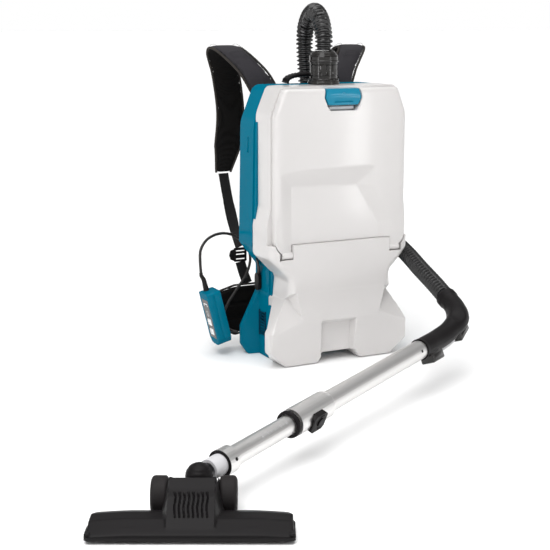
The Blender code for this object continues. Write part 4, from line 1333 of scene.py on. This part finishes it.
def make_carry_handle():
    """A low moulded grip across the top, ribbed at one end and swollen at the other."""
    sides = 20

    def squared(value):
        return math.copysign(abs(value) ** 0.6, value)

    route = [(-0.062, 0.042, 0.5775), (-0.057, 0.042, 0.5860), (-0.038, 0.042, 0.5920), (0.0, 0.042, 0.5940),
             (0.038, 0.042, 0.5920), (0.057, 0.042, 0.5860), (0.062, 0.042, 0.5775)]
    path = evenly(smooth_path(route, 90), 0.0022)
    bm = bmesh.new()
    rings = []
    for index, (place, (tangent, _, _)) in enumerate(zip(path, frames_along(path))):
        share = index / (len(path) - 1)
        rib = 0.0011 if share < 0.46 and index % 3 == 0 else 0.0
        bulge = 0.0055 * math.exp(-((share - 0.76) / 0.085) ** 2)
        lift = tangent.cross(Vector((0, 1, 0))).normalized() * -1
        ring = []
        for k in range(sides):
            angle = math.tau * k / sides
            wide = (0.0125 + 0.4 * rib) * squared(math.cos(angle))
            tall = (0.0038 + rib + bulge) * squared(math.sin(angle))
            ring.append(bm.verts.new(place + Vector((0, wide, 0)) + lift * tall))
        rings.append(ring)
    for first, second in zip(rings, rings[1:]):
        bridge(bm, first, second)
    bm.faces.new(rings[0])
    bm.faces.new(reversed(rings[-1]))
    from_bmesh("top_grip", bm, satin_black, "pack", ("carry_handle",), 50)


def make_elbow():
    """The curved wand handle: two moulded halves with a seam, a thumb dimple and a clip rail."""
    path = evenly(smooth_path(ELBOW_ROUTE, 90), 0.0022)
    path += [path[-1].lerp(wand_at(-0.0012), k / 15) for k in range(1, 16)]
    path = evenly(path, 0.0022)
    total = len(path) - 1
    dimple_share, dimple_radius = 0.30, 0.0145
    radii = []
    for index in range(len(path)):
        share = index / total
        radius = 0.0200 + 0.0026 * math.exp(-((share - dimple_share) / 0.13) ** 2)
        if share < 0.05:
            radius = 0.0216
        if share > 0.975:
            radius = 0.0206
        radii.append(radius)
    frames = frames_along(path)
    seam_side = [tangent.cross(Vector(UP)).normalized() for tangent, _, _ in frames]
    body = swept(path, radii, 56)
    middle = min(range(len(path)), key=lambda k: abs(k / total - dimple_share))
    out = Vector((-0.52, -0.76, 0.38)).normalized()
    centre = path[middle]
    for vert in body.verts:
        offset = vert.co - centre
        radial = (offset - out * offset.dot(out)).length
        if offset.dot(out) > 0 and radial < dimple_radius:
            vert.co -= out * 0.0052 * (1 - (radial / dimple_radius) ** 2) ** 0.7
    from_bmesh("handle_bend", body, satin_black, "pack", ("elbow", "elbow_collar"), 55)
    seams = []
    for sign in (-1, 1):
        line = [p + s * (sign * (r - 0.0002)) for p, s, r in zip(path, seam_side, radii)][4:-3]
        seams.append(swept(line, 0.0006, 6))
    from_bmesh("handle_seam", joined(*seams), black, "pack")
    blocks = []
    for low, high, reach in ((0.30, 0.50, 0.0300), (0.76, 0.94, 0.0330)):
        start, end = path[round(low * total)], path[round(high * total)]
        along = (end - start).normalized()
        side = along.cross(Vector(UP)).normalized()
        down = side.cross(along).normalized()
        down = down if down.z < 0 else -down
        down = (down + side * (0.35 if side.x > 0 else -0.35)).normalized()
        side = along.cross(down).normalized()
        aim = Matrix((along, side, down)).transposed().to_4x4()
        aim.translation = (start + end) / 2
        half = (end - start).length / 2
        blocks.append(moved(block((-half, -0.0145, 0.008), (half, 0.0145, reach), 0.0030, 4), aim))
        inlay = block((-half * 0.7, -0.0154, 0.018), (half * 0.7, 0.0154, reach - 0.005), 0.0014, 2)
        blocks.append(moved(inlay, aim))
    from_bmesh("handle_clip_blocks", joined(*blocks), gloss_black, "pack", (), 40)
    rail = [p + Vector((0.006, 0, -0.0235)) for p in path[round(0.48 * total):round(0.80 * total)]]
    from_bmesh("handle_clip_rail", swept(rail, 0.0040, 14), grey, "pack", (), 40)


def wand_at(distance):
    """The place on the wand's axis this far below its top."""
    return WAND_TOP + wand_axis * distance


def collar(steps, radius):
    """A ring about the wand, from a (radius, distance) profile."""
    return turned(softened(steps, radius), WAND_TOP, wand_axis, 64)


def make_wand_details():
    """The length lock, rings, button holes and scale of the telescopic tube."""
    press_out = -joint_axis("tube_lock_press").normalized()
    side = wand_axis.cross(press_out).normalized()
    aim = Matrix((wand_axis, side, press_out)).transposed().to_4x4()
    aim.translation = wand_at(0.386)
    one_end = [(-0.0165, -0.0115, 0.002), (-0.0105, -0.0165, 0.002), (0.0165, -0.0165, 0.002),
               (0.0225, -0.0115, 0.002)]
    octagon = rounded(one_end + [(u, -v, radius) for u, v, radius in reversed(one_end)])
    plate = prism(octagon, 0.0130, 0.0268, "XY")
    bore = rod(0.0084, (0, 0, 0), UP, 0.05)
    sleeve = turned([(0, -0.03), (0.0236, -0.03), (0.0236, 0.03), (0, 0.03)], (0, 0, 0), (1, 0, 0), 64)
    lock = carve(plate, [bore, sleeve], 0.0013, 3, 40)
    grips = [block((x, y, 0.0262), (x + 0.0014, y + 0.0040, 0.0276), 0.0004, 1)
             for y in (-0.0140, 0.0100) for x in (-0.006, -0.002, 0.002)]
    from_bmesh("lock_block", moved(joined(lock, *grips), aim), satin_black, "pack", (), 40)
    end = collar([(0.0163, 0.6198), (0.0214, 0.6198), (0.0214, 0.6233), (0.0163, 0.6233)], 0.0010)
    from_bmesh("lower_ring", end, satin_black, "wand_inner")
    ring = collar([(0.0172, 0.4390), (0.0228, 0.4390), (0.0228, 0.4430), (0.0205, 0.4445), (0.0172, 0.4445)],
                  0.0007)
    from_bmesh("lock_ring", ring, satin_black, "pack", ("collar_ring",))
    toward = Vector((-0.30, -0.86, 0.40))
    toward = (toward - wand_axis * toward.dot(wand_axis)).normalized()
    # Painted shade: each button hole is a small black disc that stands in for the shade inside the hole.
    for name, distance, radius, body in (("outer_tube_hole", 0.019, 0.0183, "pack"),
                                         ("lower_collar_hole", 0.6075, 0.0215, "wand_inner")):
        low = (toward * 0.9 - side * 0.35).normalized()
        low = (low - wand_axis * low.dot(wand_axis)).normalized()
        foot = wand_at(distance) + low * (radius - 0.0012)
        dot = turned([(0, 0), (0.0029, 0), (0.0029, 0.00145), (0.0024, 0.0016), (0, 0.0016)], foot, low, 28)
        from_bmesh(name, dot, black, body)
    ticks = []
    across = wand_axis.cross(toward).normalized()
    for k in range(9):
        tall = 0.0060 if k % 2 == 0 else 0.0036
        line = []
        for step in range(7):
            angle = math.radians(14) + (tall / 0.0162) * (step / 6 - 0.5)
            around = toward * math.cos(angle) + across * math.sin(angle)
            line.append(wand_at(0.462 + k * 0.0082) + around * 0.01625)
        ticks.append(swept(line, 0.00045, 6))
    from_bmesh("scale_ticks", joined(*ticks), grey, "wand_inner")
    lip = collar([(0.0190, 0.3345), (0.0222, 0.3345), (0.0238, 0.3395), (0.0190, 0.3395)], 0.0008)
    from_bmesh("collar_shoulder", lip, tube, "pack")


# ---------------------------------------------------------------- floor nozzle

NOZZLE = Matrix.Translation((-0.6232, -0.7873, 0.0)) @ Matrix.Rotation(math.radians(-26.15), 4, "Z")
NOZZLE_TOP = 0.071
DOME_CENTRE = Vector((0.007, 0.107, 0.0575))
DOME_RADIUS = 0.0202
WHEEL_Y = 0.106
WHEEL_RADIUS = 0.0285


def laid_flat(bm):
    """Turn a relief body so that its front faces up, at NOZZLE_TOP above the floor."""
    for vert in bm.verts:
        u, y, v = vert.co
        vert.co = Vector((u, v, NOZZLE_TOP - (y - FRONT_Y)))
    return bm


def nozzle_height(points):
    """The nozzle head's upper surface, rising into the yoke between the wheels."""
    x, y = np.abs(points[:, 0]), points[:, 1]
    low = np.interp(y, [0.0, 0.0040, 0.0075, 0.030, 0.052, 0.066, 0.0745],
                    [0.0125, 0.0150, 0.0165, 0.0250, 0.0262, 0.0225, 0.0150])
    low -= 0.0032 * np.clip((x - 0.085) / 0.056, 0, 1) ** 1.5
    yoke = np.interp(y, [0.0, 0.010, 0.014, 0.044, 0.058, 0.0735, 0.0775, 0.0850, 0.100, 0.120],
                     [0.000, 0.013, 0.020, 0.0515, 0.0565, 0.0680, 0.0680, 0.0560, 0.0560, 0.0400])
    flare = 4.5 * np.clip(x - 0.0335, 0, 1)
    grown = soft_max(low, yoke - flare, 0.0085)
    wave = 0.0007 * np.sin(y * 330)
    within = np.clip((y - 0.0230) / 0.002, 0, 1) * np.clip((0.0540 - y) / 0.002, 0, 1)
    for k in range(8):
        off = np.abs(points[:, 0] - wave - (-0.0224 + 0.0064 * k))
        groove = np.clip(1 - off / 0.0014, 0, 1) * within
        grown -= 0.0034 * np.sqrt(groove)
    ridge = np.clip(1 - np.abs(y - (0.0105 + 0.05 * np.clip(x - 0.05, 0, 1))) / 0.0009, 0, 1) * (x > 0.045)
    return grown + 0.0006 * ridge


def make_nozzle():
    """The floor head with its yoke, the bumper around its foot and two rows of bristles."""
    outline = rounded(mirrored([
        (0.0, 0.0005, 0), (0.136, 0.0005, 0.003), (0.1425, 0.0050, 0.003), (0.1425, 0.0540, 0.004),
        (0.133, 0.0740, 0.005), (0.044, 0.0745, 0.008), (0.0345, 0.0815, 0.005), (0.0345, 0.1190, 0.005),
        (0.0287, 0.1190, 0.002), (0.0287, 0.0762, 0.003), (0.0, 0.0762, 0),
    ]))

    def depth(points):
        return NOZZLE_TOP - nozzle_height(points) + roll(edge_distance(points, outline), 0.0022, 0.0022)

    head = laid_flat(relief_body(outline, depth, FRONT_Y + NOZZLE_TOP - 0.0100, 0.0024,
                                 detail=(-0.033, 0.013, 0.033, 0.050, 0.0007)))
    cover = moved(head, NOZZLE)
    from_bmesh("nozzle_cover", cover, satin_black, "nozzle", ("nozzle_head",), 32)
    lip = rounded(mirrored([(0.0, 0.0, 0), (0.1400, 0.0, 0.003), (0.1455, 0.0040, 0.003),
                            (0.1455, 0.0550, 0.004), (0.135, 0.0750, 0.005), (0.0, 0.0750, 0)]))
    bumper = eased(prism(lip, 0.0048, 0.0098, "XY"), 0.0012, 0.9)
    lower = prism(inset(lip, 0.0030), 0.0042, 0.0050, "XY")
    ends = []
    for _, sign in SIDES:
        ends.append(block((sign * 0.1370, 0.0030, 0.0095), (sign * 0.1450, 0.0300, 0.0150), 0.0016, 3))
    from_bmesh("nozzle_bumper", moved(joined(bumper, lower, *ends), NOZZLE), black, "nozzle")
    bristles = []
    for back in (0.0082, 0.0622):
        for k in range(81):
            x = -0.119 + 0.238 * k / 80
            bristles.append(block((x, back, 0.0005), (x + 0.0021, back + 0.0056, 0.0044), 0.0003, 1))
    brushes = moved(joined(*bristles), NOZZLE)
    from_bmesh("nozzle_brushes", brushes, webbing, "nozzle", ("brush_front", "brush_rear"))


def make_dome():
    """The ribbed ball of the swivel."""
    rows = []
    steps = 40
    for step in range(1, steps):
        angle = math.pi * step / steps - math.pi / 2
        ridge = 0.0007 * max(0.0, math.sin(angle * 13)) ** 2 if angle > 0.15 else 0.0
        radius = DOME_RADIUS - ridge
        rows.append((radius * math.cos(angle), radius * math.sin(angle)))
    dome = moved(turned([(0, -DOME_RADIUS)] + rows + [(0, DOME_RADIUS)], DOME_CENTRE, UP, 64), NOZZLE)
    from_bmesh("swivel_knuckle", dome, satin_black, "swivel", ("swivel_dome",), 50)


def on_axle(steps, radius, start, sign, sides, turns=3):
    """A body turned about the wheels' axle, from `start` outwards on one side."""
    hub = (sign * start, WHEEL_Y, WHEEL_RADIUS)
    return moved(turned(softened(steps, radius, turns), hub, (sign, 0, 0), sides), NOZZLE)


def make_wheels():
    """Each wheel with the shield behind it and the cap on its axle."""
    tread = [(0.0043, 0.0003), (0.0225, 0.0003), (WHEEL_RADIUS, 0.0035), (WHEEL_RADIUS, 0.0225),
             (0.0240, 0.0262), (0.0180, 0.0262), (0.0165, 0.0235), (0.0080, 0.0235), (0.0070, 0.0262),
             (0.0043, 0.0262)]
    disc = [(0, 0.0), (0.0240, 0.0), (0.0240, 0.0020), (0, 0.0020)]
    cap_steps = [(0, 0.0236), (0.0062, 0.0236), (0.0062, 0.0262), (0, 0.0262)]
    for side, sign in SIDES:
        wheel = on_axle(tread, 0.0040, 0.0362, sign, 72, 6)
        from_bmesh("tread_wheel_" + side, wheel, rubber, "wheel_" + side[0], ("wheel_" + side,), 40)
        shield = on_axle(disc, 0.0006, 0.0341, sign, 56)
        from_bmesh("wheel_shield_" + side, shield, satin_black, "nozzle")
        cap = on_axle(cap_steps, 0.0008, 0.0362, sign, 40)
        from_bmesh("axle_cap_" + side, cap, black, "nozzle")


# ---------------------------------------------------------------- remote

REMOTE = Matrix.Translation((-0.2145, 0.069, 0.084)) @ Matrix.Rotation(math.radians(-14), 4, "Y")
KEYS = (("on", -0.008), ("off", -0.030))


def make_remote():
    """The remote pod: case with key wells, belt clip, printed marks, two keys and the lead's boot."""
    depth, width, height = 0.0155, 0.023, 0.059
    outline = rounded([(-width, -height + 0.012, 0.006), (-width + 0.008, -height, 0.006),
                       (width - 0.008, -height, 0.006), (width, -height + 0.012, 0.006),
                       (width, height, 0.005), (-width, height, 0.005)])
    case = prism(outline, -depth, depth, "YZ")
    cutters = [block((-0.05, -0.0163, -0.0443), (0.0010 - depth, 0.0163, 0.0443), 0.002, 2)]
    for _, z in KEYS:
        cutters.append(block((-0.05, -0.0093, z - 0.0083), (0.0060 - depth, 0.0093, z + 0.0083)))
    seam = [block((-0.0012, -0.05, -0.1), (-0.0004, -width + 0.0007, 0.1)),
            block((-0.0012, width - 0.0007, -0.1), (-0.0004, 0.05, 0.1))]
    body = carve(case, cutters + seam, 0.0022, 4, 40)
    clip = block((depth - 0.001, -0.011, 0.028), (depth + 0.004, 0.011, 0.040), 0.0015, 2)
    blade = block((depth + 0.0025, -0.011, -0.030), (depth + 0.0050, 0.011, 0.040), 0.0012, 2)
    from_bmesh("remote_body", moved(body, REMOTE), teal, "pack", ("remote_case",), 38)
    from_bmesh("remote_belt_clip", moved(joined(clip, blade), REMOTE), satin_black, "pack")
    marks = []
    front = -depth - 0.0004
    for low, high in (((-0.0095, 0.0330), (0.0095, 0.0352)), ((-0.0095, 0.0290), (-0.0070, 0.0340)),
                      ((0.0070, 0.0290), (0.0095, 0.0340)), ((-0.0040, 0.0060), (0.0040, 0.0070)),
                      ((-0.0040, 0.0170), (0.0040, 0.0180)), ((-0.0040, 0.0060), (-0.0031, 0.0180)),
                      ((0.0031, 0.0060), (0.0040, 0.0180))):
        marks.append(block((front, low[0], low[1]), (front + 0.0006, high[0], high[1]), 0.0002, 1))
    from_bmesh("remote_marks", moved(joined(*marks), REMOTE), white_mark, "pack")
    for name, z in KEYS:
        pad = block((-depth - 0.0018, -0.0084, z - 0.0074), (0.0040 - depth, 0.0084, z + 0.0074), 0.0022, 4)
        symbol = block((-depth - 0.0021, -0.0022, z - 0.0006), (-depth - 0.0016, 0.0022, z + 0.0006),
                       0.0002, 1)
        from_bmesh("remote_key_" + name, moved(pad, REMOTE), white_mark, "button_" + name,
                   ("remote_button_" + name,))
        from_bmesh("remote_key_mark_" + name, moved(symbol, REMOTE), grey, "button_" + name)
    foot = REMOTE @ Vector((-0.002, 0.011, height - 0.001))
    head = REMOTE @ Vector((-0.002, 0.011, height + 0.024))
    route = [foot, foot.lerp(head, 0.5), head, Vector(CABLE_ROUTE[0]), (-0.2428, 0.080, 0.1800)]
    line = evenly(smooth_path(route, 60), 0.0010)
    radii = [0.0064 - 0.0027 * k / len(line) - (0.0007 if k % 4 == 3 and k > 5 else 0)
             for k in range(len(line))]
    from_bmesh("remote_boot", swept(line, radii, 32), rubber, "pack", ("strain_relief",), 40)


# ---------------------------------------------------------------- interior

def make_filter():
    """A pleated filter in its frame."""
    low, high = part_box("filter")
    count = 30
    outline = []
    for k in range(count + 1):
        x = low.x + 0.006 + (high.x - low.x - 0.012) * k / count
        outline.append(Vector((x, high.z - (0.0015 if k % 2 else 0.0070))))
    outline += [Vector((high.x - 0.006, low.z + 0.003)), Vector((low.x + 0.006, low.z + 0.003))]
    pleats = prism(outline, low.y + 0.004, high.y - 0.004)
    from_bmesh("filter_pleats", pleats, filter_media, "pack", ("filter",), 20)
    hole = block((low.x + 0.0055, low.y + 0.0035, low.z - 0.01),
                 (high.x - 0.0055, high.y - 0.0035, high.z + 0.01))
    surround = carve(block(low, high, 0.002, 2), [hole], 0.0006, 2, 50)
    from_bmesh("filter_frame", surround, black, "pack")


def make_batteries():
    """Grip ribs, a release bar and rails on each battery, which slides down out of its lobe."""
    for side, _ in SIDES:
        low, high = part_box("battery_" + side)
        body = "battery_" + side[0]
        ribs = [block((low.x + 0.008, low.y - 0.0006, low.z + 0.012 + k * 0.005),
                      (high.x - 0.008, low.y + 0.0010, low.z + 0.0142 + k * 0.005), 0.0005, 1)
                for k in range(6)]
        rails = [block((x - 0.0006, low.y + 0.006, low.z + 0.030),
                       (x + 0.0006, low.y + 0.010, high.z - 0.004), 0.0004, 1) for x in (low.x, high.x)]
        from_bmesh("battery_ribs_" + side, joined(*ribs, *rails), satin_black, body)
        bar = block((low.x + 0.016, low.y + 0.010, low.z - 0.0006),
                    (high.x - 0.016, low.y + 0.020, low.z + 0.0015), 0.0006, 2)
        from_bmesh("battery_release_" + side, bar, teal, body)


make_camera()
make_stage()
make_lights()
make_hose()
make_cable()
make_front_shell()
make_lid()
make_rear_housing()
make_flanks()
make_latch()
make_cuff()
make_carry_handle()
make_elbow()
make_wand_details()
make_nozzle()
make_dome()
make_wheels()
make_remote()
make_straps()
make_webbing()
make_wings()
make_back_pad()
make_dust_bag()
make_side_strap()
make_filter()
make_batteries()
dress_nodes()
